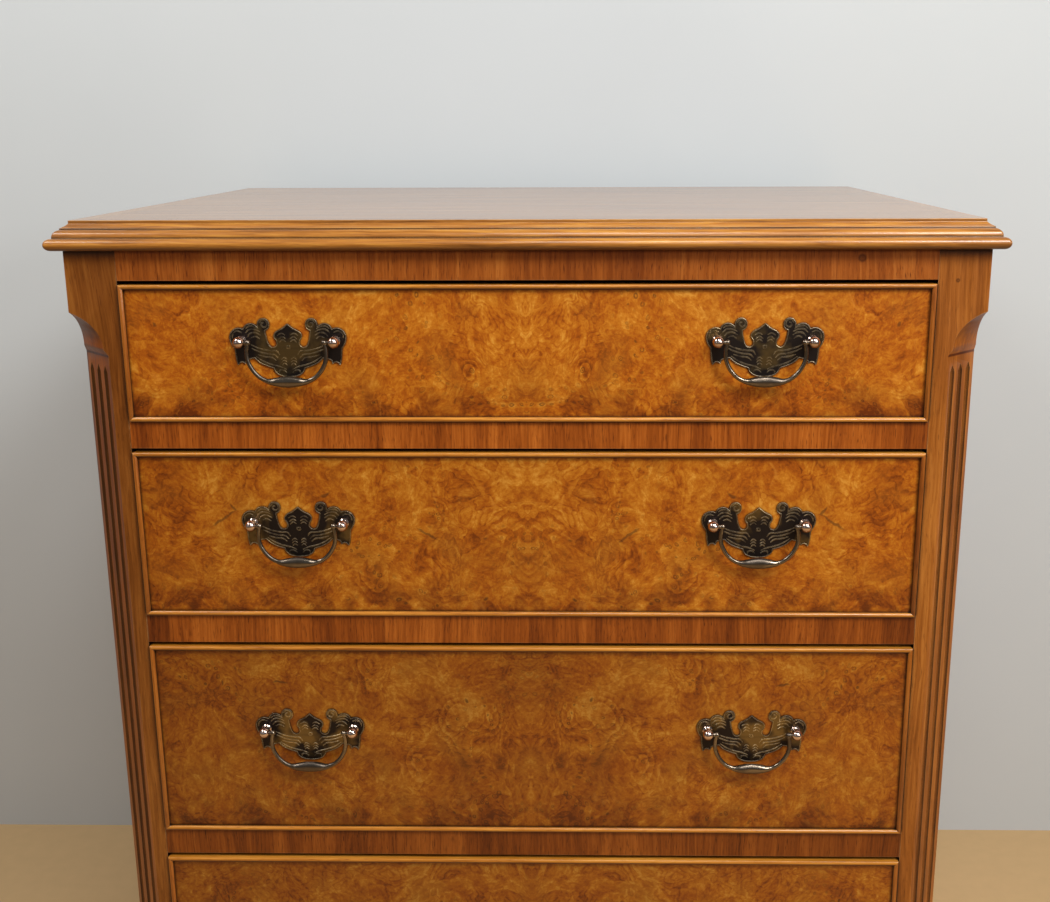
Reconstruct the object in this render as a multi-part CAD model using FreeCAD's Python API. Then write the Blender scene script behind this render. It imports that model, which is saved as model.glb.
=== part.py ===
"""Bachelor's chest: four graduated drawers between canted, fluted corner posts.

Millimetres. +X is right, -Y is the front, +Z is up. The origin is on the floor, under the
middle of the whole chest with its handles.
"""
import FreeCAD, Part
import math
import os

Vector = FreeCAD.Vector

# overall sizes
total_height = 762.0
body_width = 620.0
body_depth = 468.0
top_thickness = 19.5
top_overhang = 9.9
top_back_overhang = 6.0
base_frame_height = 18.5
base_overhang = 9.0

# drawers, counted from the top
drawer_heights = (94.2, 120.2, 147.5, 174.0)
top_rail_height = 20.6
divider_rail_heights = (19.1, 21.0, 20.3)
bottom_rail_height = 19.6
gap_above_drawer = 2.6
gap_below_drawer = 0.4
drawer_half_width = 274.5
drawer_side_gap = 0.9
drawer_length = 440.0

# carcass joinery
post_depth = 40.0
side_thickness = 16.0
tongue_thickness = 6.0
tongue_length = 6.0
back_thickness = 5.0
back_rebate = 8.0
rail_depth = 50.0
tenon_length = 12.0
tenon_shoulder = 4.0
tenon_front = 8.0
tenon_back = 30.0
housing_depth = 5.0
runner_width = 38.0
runner_thickness = 15.0
guide_height = 12.0
stop_width = 24.0
stop_depth = 14.0
stop_height = 5.0
stop_offset = 185.0
stop_gap = 0.3
rear_rail_depth = 60.0

# corner posts: the cant, its lamb's tongues and its flutes
cant_leg = 24.5
square_length = 41.8
tongue_drop = 26.0
tongue_cut = 15.2
tongue_belly_cut = 9.0
tongue_belly_drop = 7.5
lip_drop = 4.0
flute_spacing = 10.5
flute_width = 5.6
flute_depth = 2.0
flute_start = 79.5
flute_point = 4.5
flute_facets = 6

# moulded edge of the top: distance out from the body, height above the top's underside
top_strip_width = 24.0
roll_radius = 3.95
quirk_out = 5.2
quirk_height = 9.2
ovolo_out = 1.4
ovolo_height = 13.4
step_out = 0.9
step_height = 14.6
fillet_out = -3.7
fillet_height = 17.3
cove_hollow = 0.3
ovolo_bulge = 0.9

# moulded edge of the base frame
base_strip_width = 45.0
base_fillet_height = 7.0
base_bead_height = 3.0
base_bead_out = 1.6
base_ovolo_bulge = 2.2

# bracket feet
foot_length = 118.0
foot_width_at_floor = 58.0
foot_thickness = 18.0
foot_apron = 16.0
foot_spur = 8.0
foot_knee = (66.0, 0.42)
foot_brow = (85.0, 0.66)
foot_block = 26.0
foot_block_lift = 4.0

# drawer joinery
front_thickness = 19.0
bead_thickness = 3.2
bead_projection = 3.0
lap_thickness = 6.0
lining_thickness = 9.5
side_top_gap = 4.0
back_top_gap = 10.0
bottom_thickness = 4.0
bottom_raise = 9.0
groove_depth = 5.0
tail_pitch = 36.0
pin_width = 6.0
tail_slope = 1.0 / 7.0

# handles
handle_offset = 161.5
handle_rise = 9.0
knob_half_spacing = 32.0
plate_thickness = 1.2
knob_radius = 4.1
knob_stand = 8.0
neck_radius = 2.6
collar_radius = 3.8
collar_thickness = 1.3
collar_slope = 0.4
brass_sides = 8
brass_chamfer = 2 - math.sqrt(2)
pivot_radius = 1.5
pivot_clearance = 0.08
pivot_hole_depth = 4.5
pivot_gap = 0.6
bail_leg_x = 26.1
bail_corner_radius = 17.5
bail_drop = 26.9
bail_wire_radius = 1.45
grip_half_length = 12.5
grip_half_height = 4.1
grip_half_depth = 2.7

# derived places
knob_reach = knob_stand + knob_radius
front_y = -(body_depth + top_back_overhang - knob_reach) / 2
back_y = front_y + body_depth
half_width = body_width / 2
top_underside = total_height - top_thickness
rail_heights = divider_rail_heights + (bottom_rail_height,)
gaps_height = len(drawer_heights) * (gap_above_drawer + gap_below_drawer)
stack_height = top_rail_height + sum(drawer_heights) + sum(rail_heights) + gaps_height
base_height = top_underside - stack_height
foot_height = base_height - base_frame_height
opening_half = drawer_half_width + drawer_side_gap
side_inner = half_width - side_thickness
back_panel_front = back_y - back_thickness
rail_back = front_y + rail_depth

NODES = {}


def box(x0, x1, y0, y1, z0, z1):
    """Box between two corners."""
    return Part.makeBox(x1 - x0, y1 - y0, z1 - z0, Vector(x0, y0, z0))


def mirrored(shape):
    """Copy of a shape on the other side of the chest's middle plane."""
    return shape.mirror(Vector(0, 0, 0), Vector(1, 0, 0))


def polygon_face(points):
    """Flat face inside a closed polygon."""
    return Part.Face(Part.makePolygon(points + points[:1]))


def edges_face(edges):
    """Flat face inside edges given in order."""
    return Part.Face(Part.Wire(edges))


def line(start, end):
    """Straight edge."""
    return Part.LineSegment(start, end).toShape()


def arc(start, middle, end):
    """Round edge through three points."""
    return Part.Arc(start, middle, end).toShape()


def bowed(start, end, bulge):
    """Round edge that leaves its chord by a bulge, in the YZ plane or in the XZ plane.

    A positive bulge lies to the left of the chord as seen from +X or from -Y.
    """
    chord = end - start
    normal = Vector(-chord.z, -chord.z, chord.x + chord.y)
    if start.x == end.x:
        normal.x = 0.0
    else:
        normal.y = 0.0
    return arc(start, (start + end) / 2 + normal.normalize() * bulge, end)


def facetted(rings):
    """Closed solid through outlines of equal point count, with flat triangles between them."""
    faces = [polygon_face(rings[0]), polygon_face(rings[-1])]
    for lower, upper in zip(rings, rings[1:]):
        for index in range(len(lower)):
            after = (index + 1) % len(lower)
            faces.append(polygon_face([lower[index], lower[after], upper[after]]))
            faces.append(polygon_face([lower[index], upper[after], upper[index]]))
    solid = Part.makeSolid(Part.makeShell(faces)).removeSplitter()
    if solid.Volume < 0:
        solid.reverse()
    return solid


def round_points(centre, radius, start, end, steps):
    """Points on a round stretch in the XZ plane, from one angle to another in degrees."""
    points = []
    for index in range(steps + 1):
        turn = math.radians(start + (end - start) * index / steps)
        points.append(centre + Vector(math.cos(turn), 0, math.sin(turn)) * radius)
    return points


def group(solids):
    """Separate solids kept together in one node."""
    return Part.makeCompound(solids)


def drawer_rows():
    """Bottom and top of each drawer, from the top one down."""
    rows = []
    rail_bottom = top_underside - top_rail_height
    for height, rail in zip(drawer_heights, rail_heights):
        top = rail_bottom - gap_above_drawer
        bottom = top - height
        rows.append((bottom, top))
        rail_bottom = bottom - gap_below_drawer - rail
    return rows


# ---------------------------------------------------------------- top

def top_edge_profile():
    """Section of the moulded edge: roll, quirk, ovolo, step, cove and fillet."""
    inner = top_overhang - top_strip_width
    roll_out = top_overhang - roll_radius

    def at(out, height):
        return Vector(0, front_y - out, top_underside + height)

    return edges_face([
        line(at(inner, 0), at(roll_out, 0)),
        arc(at(roll_out, 0), at(top_overhang, roll_radius), at(roll_out, 2 * roll_radius)),
        line(at(roll_out, 2 * roll_radius), at(quirk_out, 2 * roll_radius)),
        line(at(quirk_out, 2 * roll_radius), at(quirk_out, quirk_height)),
        bowed(at(quirk_out, quirk_height), at(ovolo_out, ovolo_height), ovolo_bulge),
        line(at(ovolo_out, ovolo_height), at(step_out, ovolo_height)),
        line(at(step_out, ovolo_height), at(step_out, step_height)),
        bowed(at(step_out, step_height), at(fillet_out, fillet_height), -cove_hollow),
        line(at(fillet_out, fillet_height), at(fillet_out, top_thickness)),
        line(at(fillet_out, top_thickness), at(inner, top_thickness)),
        line(at(inner, top_thickness), at(inner, 0)),
    ])


def mitred_frame(profile, overhang, width, end_y, z0, z1):
    """Front strip and two side strips of one section, mitred at the front corners."""
    outer_x = half_width + overhang
    outer_y = front_y - overhang
    front = profile.copy()
    front.translate(Vector(-outer_x, 0, 0))
    front = front.extrude(Vector(2 * outer_x, 0, 0))
    trapezoid = polygon_face([
        Vector(-outer_x, outer_y, z0), Vector(outer_x, outer_y, z0),
        Vector(outer_x - width, outer_y + width, z0),
        Vector(-outer_x + width, outer_y + width, z0),
    ])
    front = front.common(trapezoid.extrude(Vector(0, 0, z1 - z0)))

    side = profile.copy()
    side.rotate(Vector(0, front_y, 0), Vector(0, 0, 1), -90)
    side.translate(Vector(-half_width, -overhang, 0))
    side = side.extrude(Vector(0, end_y - outer_y, 0))
    wedge = polygon_face([
        Vector(-outer_x, outer_y, z0), Vector(-outer_x + width, outer_y + width, z0),
        Vector(-outer_x + width, end_y, z0), Vector(-outer_x, end_y, z0),
    ])
    left = side.common(wedge.extrude(Vector(0, 0, z1 - z0)))
    return front, left, mirrored(left)


def make_top():
    """Top board inside its mitred moulding."""
    top_back = back_y + top_back_overhang
    board_half = half_width + top_overhang - top_strip_width
    board_front = front_y - top_overhang + top_strip_width
    NODES["top_board"] = box(-board_half, board_half, board_front, top_back,
                             top_underside, total_height)
    strips = mitred_frame(top_edge_profile(), top_overhang, top_strip_width, top_back,
                          top_underside, total_height)
    NODES["top_moulding"] = group(list(strips))


# ---------------------------------------------------------------- corner posts

def cant_cutter():
    """Solid that takes the left front corner off between the two lamb's tongues.

    The section is drawn in the upright plane through the corner at 45 degrees: how far the
    cut goes in from the corner, against height.
    """
    full_cut = cant_leg / math.sqrt(2)
    reach = 2 * full_cut
    high = top_underside - square_length
    low = base_height + square_length

    def at(cut, height):
        return Vector(cut, 0, height)

    def tongue(start, way):
        belly = at(tongue_belly_cut, start + way * tongue_belly_drop)
        toe = at(tongue_cut, start + way * tongue_drop)
        lip = at(full_cut, start + way * (tongue_drop + lip_drop))
        return arc(at(0, start), belly, toe), line(toe, lip), lip

    upper_cove, upper_step, upper_lip = tongue(high, -1)
    lower_cove, lower_step, lower_lip = tongue(low, 1)
    face = edges_face([
        upper_cove, upper_step, line(upper_lip, lower_lip), lower_step, lower_cove,
        line(at(0, low), at(-reach, low)), line(at(-reach, low), at(-reach, high)),
        line(at(-reach, high), at(0, high)),
    ])
    cutter = face.extrude(Vector(0, 2 * cant_leg, 0))
    cutter.translate(Vector(0, -cant_leg, 0))
    cutter.rotate(Vector(0, 0, 0), Vector(0, 0, 1), 45)
    cutter.translate(Vector(-half_width, front_y, 0))
    return cutter


def flute_cutter(shift):
    """Gouged flute with pointed ends, a given distance from the middle of the left cant."""
    half = flute_width / 2
    along = Vector(1, -1, 0).normalize()
    outward = Vector(-1, -1, 0).normalize()
    middle = Vector(-half_width + cant_leg / 2, front_y + cant_leg / 2, 0) + along * shift

    def ring(height, size):
        points = [middle + along * (half * size) + outward,
                  middle - along * (half * size) + outward]
        for index in range(flute_facets + 1):
            turn = math.pi * index / flute_facets
            points.append(middle - along * (half * size * math.cos(turn))
                          - outward * (flute_depth * size * math.sin(turn)))
        return [point + Vector(0, 0, height) for point in points]

    low = base_height + flute_start
    high = top_underside - flute_start
    tip = 0.1  # size of the pointed ends against the full flute
    return facetted([ring(low, tip), ring(low + flute_point, 1.0),
                     ring(high - flute_point, 1.0), ring(high, tip)])


def make_posts(rails, panel):
    """Left and right posts: canted, fluted, mortised for the rails, grooved for the panel."""
    post = box(-half_width, -opening_half, front_y, front_y + post_depth,
               base_height, top_underside)
    post = post.cut(cant_cutter())
    for shift in (-flute_spacing, 0, flute_spacing):
        post = post.cut(flute_cutter(shift))
    post = post.cut(group(rails))
    post = post.cut(panel)
    NODES["corner_post_left"] = post
    NODES["corner_post_right"] = mirrored(post)


# ---------------------------------------------------------------- carcass

def make_rail(bottom, height):
    """Cross rail with a stub tenon at each end."""
    body = box(-opening_half, opening_half, front_y, rail_back, bottom, bottom + height)
    reach = opening_half + tenon_length
    tenons = box(-reach, reach, front_y + tenon_front, front_y + tenon_back,
                 bottom + tenon_shoulder, bottom + height - tenon_shoulder)
    return body.fuse(tenons).removeSplitter()


def make_rails():
    """Top, divider and bottom rails, each just under its drawer."""
    rails = [("top_rail", make_rail(top_underside - top_rail_height, top_rail_height))]
    rows = drawer_rows()
    for number, height in enumerate(divider_rail_heights):
        top = rows[number][0] - gap_below_drawer
        rails.append(("divider_rail_%d" % (number + 1), make_rail(top - height, height)))
    rails.append(("bottom_rail", make_rail(base_height, bottom_rail_height)))
    for name, rail in rails:
        NODES[name] = rail
    return [rail for _, rail in rails]


def make_side_panel():
    """Left side panel: tongue in front, rebate behind, housings for bottom and rear rail."""
    panel = box(-half_width, -side_inner, front_y + post_depth, back_y,
                base_height, top_underside)
    tongue_x = -half_width + (side_thickness - tongue_thickness) / 2
    tongue = box(tongue_x, tongue_x + tongue_thickness, front_y + post_depth - tongue_length,
                 front_y + post_depth, base_height, top_underside)
    panel = panel.fuse(tongue).removeSplitter()
    panel = panel.cut(box(-side_inner - back_rebate, -side_inner, back_panel_front, back_y,
                          base_height, top_underside))
    return panel


def make_carcass():
    """Sides, back, bottom board and rear rail."""
    panel = make_side_panel()
    board_reach = side_inner + housing_depth
    bottom = box(-board_reach, board_reach, rail_back, back_panel_front,
                 base_height, base_height + bottom_rail_height)
    rear = box(-board_reach, board_reach, back_panel_front - rear_rail_depth, back_panel_front,
               top_underside - top_rail_height, top_underside)
    panel = panel.cut(bottom).cut(rear)
    NODES["side_left"] = panel
    NODES["side_right"] = mirrored(panel)
    NODES["bottom_board"] = bottom
    NODES["rear_rail"] = rear
    back_half = side_inner + back_rebate
    NODES["back_panel"] = box(-back_half, back_half, back_panel_front, back_y,
                              base_height, top_underside)
    return panel


def make_runners():
    """Runners and guides for the drawer sides, and kickers over the top drawer."""
    pieces = []
    inner = side_inner - runner_width
    levels = [row[0] - gap_below_drawer for row in drawer_rows()]
    for level in levels[:-1]:
        pieces.append(box(-side_inner, -inner, rail_back, back_panel_front,
                          level - runner_thickness, level))
    for level in levels:
        pieces.append(box(-side_inner, -opening_half, rail_back, back_panel_front,
                          level, level + guide_height))
    kicker_bottom = top_underside - top_rail_height
    pieces.append(box(-side_inner, -inner, rail_back, back_panel_front - rear_rail_depth,
                      kicker_bottom, kicker_bottom + runner_thickness))
    NODES["drawer_runners"] = group(pieces + [mirrored(piece) for piece in pieces])


def make_stops():
    """Two stop blocks on the rail under each drawer, just behind the closed front."""
    stops = []
    front = front_y + front_thickness + stop_gap
    for bottom, _ in drawer_rows():
        level = bottom - gap_below_drawer
        for centre in (-stop_offset, stop_offset):
            stops.append(box(centre - stop_width / 2, centre + stop_width / 2,
                             front, front + stop_depth, level, level + stop_height))
    NODES["drawer_stops"] = group(stops)


# ---------------------------------------------------------------- base

def base_edge_profile():
    """Section of the base frame: fillet, ovolo and small bead, wider at the foot."""
    low = foot_height
    high = base_height
    inner = base_overhang - base_strip_width

    def at(out, height):
        return Vector(0, front_y - out, height)

    shoulder = low + base_fillet_height
    neck = high - base_bead_height
    return edges_face([
        line(at(inner, low), at(base_overhang, low)),
        line(at(base_overhang, low), at(base_overhang, shoulder)),
        bowed(at(base_overhang, shoulder), at(base_bead_out, neck), base_ovolo_bulge),
        line(at(base_bead_out, neck), at(base_bead_out, high)),
        line(at(base_bead_out, high), at(inner, high)),
        line(at(inner, high), at(inner, low)),
    ])


def make_base_frame():
    """Frame under the carcass: moulded front and sides, plain strip behind."""
    strips = list(mitred_frame(base_edge_profile(), base_overhang, base_strip_width, back_y,
                               foot_height, base_height))
    inner_x = half_width + base_overhang - base_strip_width
    strips.append(box(-inner_x, inner_x, back_y - base_strip_width, back_y,
                      foot_height, base_height))
    NODES["base_frame"] = group(strips)


def make_bracket():
    """Bracket along +X from a corner: straight foot, cyma cut-out, apron."""
    def at(x, z):
        return Vector(x, 0, z)

    waist = at(foot_width_at_floor, 0)
    knee = at(foot_knee[0], foot_height * foot_knee[1])
    brow = at(foot_brow[0], foot_height * foot_brow[1])
    apron = foot_height - foot_apron
    spur = at(foot_length - foot_spur, apron)
    outline = edges_face([
        line(at(0, 0), waist), bowed(waist, knee, foot_width_at_floor / 10),
        bowed(knee, brow, foot_width_at_floor / 20),
        bowed(brow, spur, -foot_width_at_floor / 20),
        line(spur, at(foot_length, apron)),
        line(at(foot_length, apron), at(foot_length, foot_height)),
        line(at(foot_length, foot_height), at(0, foot_height)),
        line(at(0, foot_height), at(0, 0)),
    ])
    return outline.extrude(Vector(0, foot_thickness, 0))


def make_feet():
    """Mitred bracket feet in front, single brackets with a plain brace behind."""
    reach = 2 * foot_length
    miter = polygon_face([Vector(0, 0, 0), Vector(reach, reach, 0), Vector(reach, 0, 0)])
    front_part = make_bracket().common(miter.extrude(Vector(0, 0, foot_height)))
    side_part = front_part.mirror(Vector(0, 0, 0), Vector(1, -1, 0))
    block = box(foot_thickness, foot_thickness + foot_block,
                foot_thickness, foot_thickness + foot_block, foot_block_lift, foot_height)
    front_foot = group([front_part, side_part, block])
    front_foot.translate(Vector(-half_width, front_y, 0))
    NODES["front_foot_left"] = front_foot
    NODES["front_foot_right"] = mirrored(front_foot)

    side_bracket = make_bracket()
    side_bracket.rotate(Vector(0, 0, 0), Vector(0, 0, 1), -90)
    side_bracket.translate(Vector(-half_width, back_y, 0))
    inner = -half_width + foot_thickness
    toe = foot_width_at_floor - foot_thickness
    head = foot_length - foot_thickness
    front = back_y - foot_thickness
    brace = polygon_face([
        Vector(inner, front, 0), Vector(inner + toe, front, 0),
        Vector(inner + head, front, foot_height), Vector(inner, front, foot_height),
    ]).extrude(Vector(0, foot_thickness, 0))
    rear = [side_bracket, brace]
    NODES["rear_feet"] = group(rear + [mirrored(piece) for piece in rear])


# ---------------------------------------------------------------- drawers

def tail_gaps(y_end, y_root, z0, z1):
    """Gaps between dovetails cut across the left drawer side, from a board end to its root.

    Each gap is narrow at the board's end and wide at the root; half gaps close the row.
    """
    count = max(2, round((z1 - z0) / tail_pitch))
    pitch = (z1 - z0) / count
    narrow = pin_width / 2
    wide = narrow + abs(y_root - y_end) * tail_slope
    limit = box(-drawer_half_width, -drawer_half_width + lining_thickness,
                min(y_end, y_root), max(y_end, y_root), z0, z1)
    gaps = []
    for index in range(count + 1):
        middle = z0 + index * pitch
        face = polygon_face([
            Vector(-drawer_half_width, y_end, middle - narrow),
            Vector(-drawer_half_width, y_root, middle - wide),
            Vector(-drawer_half_width, y_root, middle + wide),
            Vector(-drawer_half_width, y_end, middle + narrow),
        ])
        gaps.append(face.extrude(Vector(lining_thickness, 0, 0)).common(limit))
    return gaps


def make_drawer_box(name, bottom, top):
    """Front, sides, back and bottom panel, with dovetails and grooves cut to seat."""
    front_back = front_y + front_thickness
    lap = front_y + lap_thickness
    end = front_y + drawer_length
    side_top = top - side_top_gap
    panel_bottom = bottom + bottom_raise
    panel_top = panel_bottom + bottom_thickness
    inner = drawer_half_width - lining_thickness

    back = box(-drawer_half_width, drawer_half_width, end - lining_thickness, end,
               panel_top, side_top - back_top_gap)
    side = box(-drawer_half_width, -inner, lap, end, bottom, side_top)
    side = side.cut(group(tail_gaps(lap, front_back, bottom, side_top)))
    side = side.cut(group(tail_gaps(end, end - lining_thickness,
                                    panel_top, side_top - back_top_gap)))
    panel = box(-inner - groove_depth, inner + groove_depth,
                front_back - groove_depth, end, panel_bottom, panel_top)
    side = side.cut(panel)
    other_side = mirrored(side)

    front = box(-drawer_half_width, drawer_half_width, lap, front_back, bottom, top)
    field = box(-drawer_half_width + bead_thickness, drawer_half_width - bead_thickness,
                front_y, lap, bottom + bead_thickness, top - bead_thickness)
    front = front.fuse(field).removeSplitter().cut(group([side, other_side, panel]))

    NODES[name + "_front"] = front
    NODES[name + "_side_left"] = side
    NODES[name + "_side_right"] = other_side
    NODES[name + "_back"] = back.cut(group([side, other_side]))
    NODES[name + "_bottom"] = panel


def make_cock_beads(name, bottom, top):
    """Round-nosed bead let into the front's edges: four strips mitred at the corners."""
    nose = bead_thickness / 4
    shoulder = front_y - bead_projection + nose
    rebate_back = front_y + lap_thickness
    middle = (bottom + top) / 2
    half_height = (top - bottom) / 2

    def strip(run, offset):
        def at(y, across):
            return Vector(-run, y, middle + offset - across)
        face = edges_face([
            line(at(rebate_back, 0), at(shoulder, 0)),
            arc(at(shoulder, 0), at(shoulder - nose, bead_thickness / 2),
                at(shoulder, bead_thickness)),
            line(at(shoulder, bead_thickness), at(rebate_back, bead_thickness)),
            line(at(rebate_back, bead_thickness), at(rebate_back, 0)),
        ])
        shaft = face.extrude(Vector(2 * run, 0, 0))
        front = front_y - bead_projection
        inner_run = run - bead_thickness
        mitre = polygon_face([
            Vector(-run, front, middle + offset), Vector(run, front, middle + offset),
            Vector(inner_run, front, middle + offset - bead_thickness),
            Vector(-inner_run, front, middle + offset - bead_thickness),
        ])
        return shaft.common(mitre.extrude(Vector(0, bead_projection + lap_thickness, 0)))

    centre = Vector(0, 0, middle)
    upper = strip(drawer_half_width, half_height)
    upright = strip(half_height, drawer_half_width)
    lower = upper.copy()
    lower.rotate(centre, Vector(0, 1, 0), 180)
    left = upright.copy()
    left.rotate(centre, Vector(0, 1, 0), -90)
    right = upright.copy()
    right.rotate(centre, Vector(0, 1, 0), 90)
    NODES[name + "_cock_beads"] = group([upper, lower, left, right])


# ---------------------------------------------------------------- handles

def bail_section(centre, across, half_across, half_deep):
    """Rectangle with its corners taken off at 45 degrees, in the plane of across and of Y."""
    corner = brass_chamfer * min(half_across, half_deep)
    flat_across = half_across - corner
    flat_deep = half_deep - corner
    outline = [
        (half_across, -flat_deep), (half_across, flat_deep),
        (flat_across, half_deep), (-flat_across, half_deep),
        (-half_across, flat_deep), (-half_across, -flat_deep),
        (-flat_across, -half_deep), (flat_across, -half_deep),
    ]
    return [centre + across * u + Vector(0, v, 0) for u, v in outline]


def round_section(centre, first, second, radius):
    """Many-sided stand-in for a circle, flat towards its first direction."""
    points = []
    for index in range(brass_sides):
        angle = 2 * math.pi * (index + 0.5) / brass_sides
        points.append(centre + first * (radius * math.cos(angle))
                      + second * (radius * math.sin(angle)))
    return points


def pivot_section(x, radius):
    """Section of the pivot, level with the middle of the ball heads."""
    return round_section(Vector(x, -knob_stand, 0), Vector(0, 1, 0), Vector(0, 0, 1), radius)


def plate_outline():
    """Points of the right half of the pierced backplate, from its peak round to its foot.

    Heights are measured from the axis of the bail.
    """
    def at(x, z):
        return Vector(x, 0, z)

    crown = [at(0, 11.6), at(3.6, 8.6), at(8.6, 5.6), at(9.4, 3.2), at(7.8, 0.4)]
    notch = round_points(at(10.3, -1.6), 2.6, 190, 345, 4)
    wing = [at(14.4, 4.4)]
    scroll = round_points(at(16.0, 12.0), 4.3, 255, -32, 7)
    lobe = round_points(at(25.3, 7.3), 4.6, 150, 12, 4)
    shoulder = [at(33.2, 8.8), at(36.6, 7.8), at(39.0, 5.0), at(39.5, 1.6), at(38.4, -2.0),
                at(36.4, -5.0)]
    tail = [at(35.9, -11.0), at(35.0, -16.3), at(32.6, -13.6), at(27.2, -12.2),
            at(23.4, -11.4), at(20.2, -14.4), at(15.4, -16.8), at(10.6, -18.4),
            at(9.2, -21.4), at(6.0, -23.6), at(0, -24.6)]
    return crown + notch + wing + scroll + lobe + shoulder + tail


def make_plate(centre):
    """Backplate of one handle, centred on the axis of its bail."""
    right = plate_outline()
    left = [Vector(-point.x, 0, point.z) for point in reversed(right[1:-1])]
    plate = polygon_face(right + left).extrude(Vector(0, -plate_thickness, 0))
    plate.translate(centre)
    return plate


def make_post(centre, side):
    """Handle post on one side: ball head cross-drilled for the bail, neck and collar."""
    collar_out = plate_thickness + collar_thickness
    profile = [(plate_thickness, collar_radius), (collar_out, collar_radius),
               (collar_out + collar_slope, neck_radius)]
    for turn in (40, 65, 115, 140, 165):
        angle = math.radians(turn)
        profile.append((knob_stand - knob_radius * math.cos(angle),
                        knob_radius * math.sin(angle)))
    post = facetted([round_section(Vector(0, -out, 0), Vector(1, 0, 0), Vector(0, 0, 1), radius)
                     for out, radius in profile])
    # the hole is measured across its flats, so that the pivot turns inside them
    hole_radius = (pivot_radius + pivot_clearance) / math.cos(math.pi / brass_sides)
    mouth = knob_radius + neck_radius
    floor = knob_radius - pivot_hole_depth
    post = post.cut(facetted([pivot_section(-side * x, hole_radius) for x in (floor, mouth)]))
    post.translate(centre + Vector(side * knob_half_spacing, 0, 0))
    return post


def grip_section(centre, across):
    """Section of the bail, swelling from plain wire to the middle of the grip."""
    swell = 0.0
    if centre.x < grip_half_length:
        swell = math.cos(math.pi * centre.x / (2 * grip_half_length)) ** 2
    half_across = bail_wire_radius + (grip_half_height - bail_wire_radius) * swell
    half_deep = bail_wire_radius + (grip_half_depth - bail_wire_radius) * swell
    return bail_section(centre, across, half_across, half_deep)


def half_bail():
    """Right half of a bail about its pivot axis, from the elbow round to the grip's middle."""
    wire = bail_wire_radius
    corner = Vector(bail_leg_x - bail_corner_radius, -knob_stand,
                    bail_corner_radius - bail_drop)
    sections = [bail_section(Vector(bail_leg_x, -knob_stand, 0), Vector(1, 0, 0), wire, wire)]
    for angle in (0, 30, 60, 90):
        turn = math.radians(angle)
        outward = Vector(math.cos(turn), 0, -math.sin(turn))
        centre = corner + outward * bail_corner_radius
        sections.append(grip_section(centre, outward))
    for share in (0.5, 0.0):
        centre = Vector(corner.x * share, -knob_stand, -bail_drop)
        sections.append(grip_section(centre, Vector(0, 0, -1)))
    pin_end = knob_half_spacing - knob_radius + pivot_hole_depth - pivot_gap
    pin = facetted([pivot_section(x, pivot_radius)
                    for x in (bail_leg_x - pivot_radius, pin_end)])
    return facetted(sections).fuse(pin)


def make_bail(centre):
    """Swan-neck bail hanging between the two posts of a handle."""
    right = half_bail()
    bail = right.fuse(mirrored(right)).removeSplitter()
    bail.translate(centre)
    return bail


def make_handles(name, bottom, top):
    """Two handles of one drawer: plates, posts and a bail each."""
    height = (bottom + top) / 2 + handle_rise
    left = Vector(-handle_offset, front_y, height)
    right = Vector(handle_offset, front_y, height)
    NODES[name + "_handle_plates"] = group([make_plate(left), make_plate(right)])
    posts = [make_post(centre, side) for centre in (left, right) for side in (-1, 1)]
    NODES[name + "_handle_posts"] = group(posts)
    NODES[name + "_bail_left"] = make_bail(left)
    NODES[name + "_bail_right"] = make_bail(right)


def build():
    """Make every node and write each to its own file."""
    make_top()
    rails = make_rails()
    panel = make_carcass()
    make_posts(rails, panel)
    make_runners()
    make_stops()
    make_base_frame()
    make_feet()
    for number, (bottom, top) in enumerate(drawer_rows(), start=1):
        name = "drawer_%d" % number
        make_drawer_box(name, bottom, top)
        make_cock_beads(name, bottom, top)
        make_handles(name, bottom, top)
    os.makedirs("parts", exist_ok=True)
    for name, shape in NODES.items():
        shape.exportStep("parts/%s.step" % name)


build()
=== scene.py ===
"""Bachelor's chest in walnut and burr walnut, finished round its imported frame.

Metres. +X is right, -Y is the front, +Z is up.
"""

import math

import bmesh
import bpy
from mathutils import Matrix, Vector


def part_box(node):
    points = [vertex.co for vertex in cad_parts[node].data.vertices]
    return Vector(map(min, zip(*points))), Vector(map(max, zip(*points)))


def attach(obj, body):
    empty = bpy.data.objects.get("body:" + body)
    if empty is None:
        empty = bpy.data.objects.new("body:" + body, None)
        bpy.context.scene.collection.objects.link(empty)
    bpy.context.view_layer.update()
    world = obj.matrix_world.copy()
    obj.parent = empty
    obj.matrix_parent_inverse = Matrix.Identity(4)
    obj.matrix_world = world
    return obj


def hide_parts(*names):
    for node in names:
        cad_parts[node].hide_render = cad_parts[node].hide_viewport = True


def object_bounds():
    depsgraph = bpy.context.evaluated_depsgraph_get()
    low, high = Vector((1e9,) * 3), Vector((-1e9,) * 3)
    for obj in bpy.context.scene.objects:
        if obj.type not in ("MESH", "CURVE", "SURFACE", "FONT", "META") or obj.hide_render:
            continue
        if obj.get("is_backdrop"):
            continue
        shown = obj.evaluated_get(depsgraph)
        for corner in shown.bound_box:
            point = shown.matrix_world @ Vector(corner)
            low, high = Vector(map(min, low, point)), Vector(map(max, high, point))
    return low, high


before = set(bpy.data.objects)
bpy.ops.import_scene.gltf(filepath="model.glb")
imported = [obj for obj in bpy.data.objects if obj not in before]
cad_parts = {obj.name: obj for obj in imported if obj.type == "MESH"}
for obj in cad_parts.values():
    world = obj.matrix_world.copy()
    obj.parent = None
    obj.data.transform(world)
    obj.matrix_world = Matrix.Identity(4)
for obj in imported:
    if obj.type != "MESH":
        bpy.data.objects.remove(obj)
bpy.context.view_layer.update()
scene = bpy.context.scene

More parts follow.
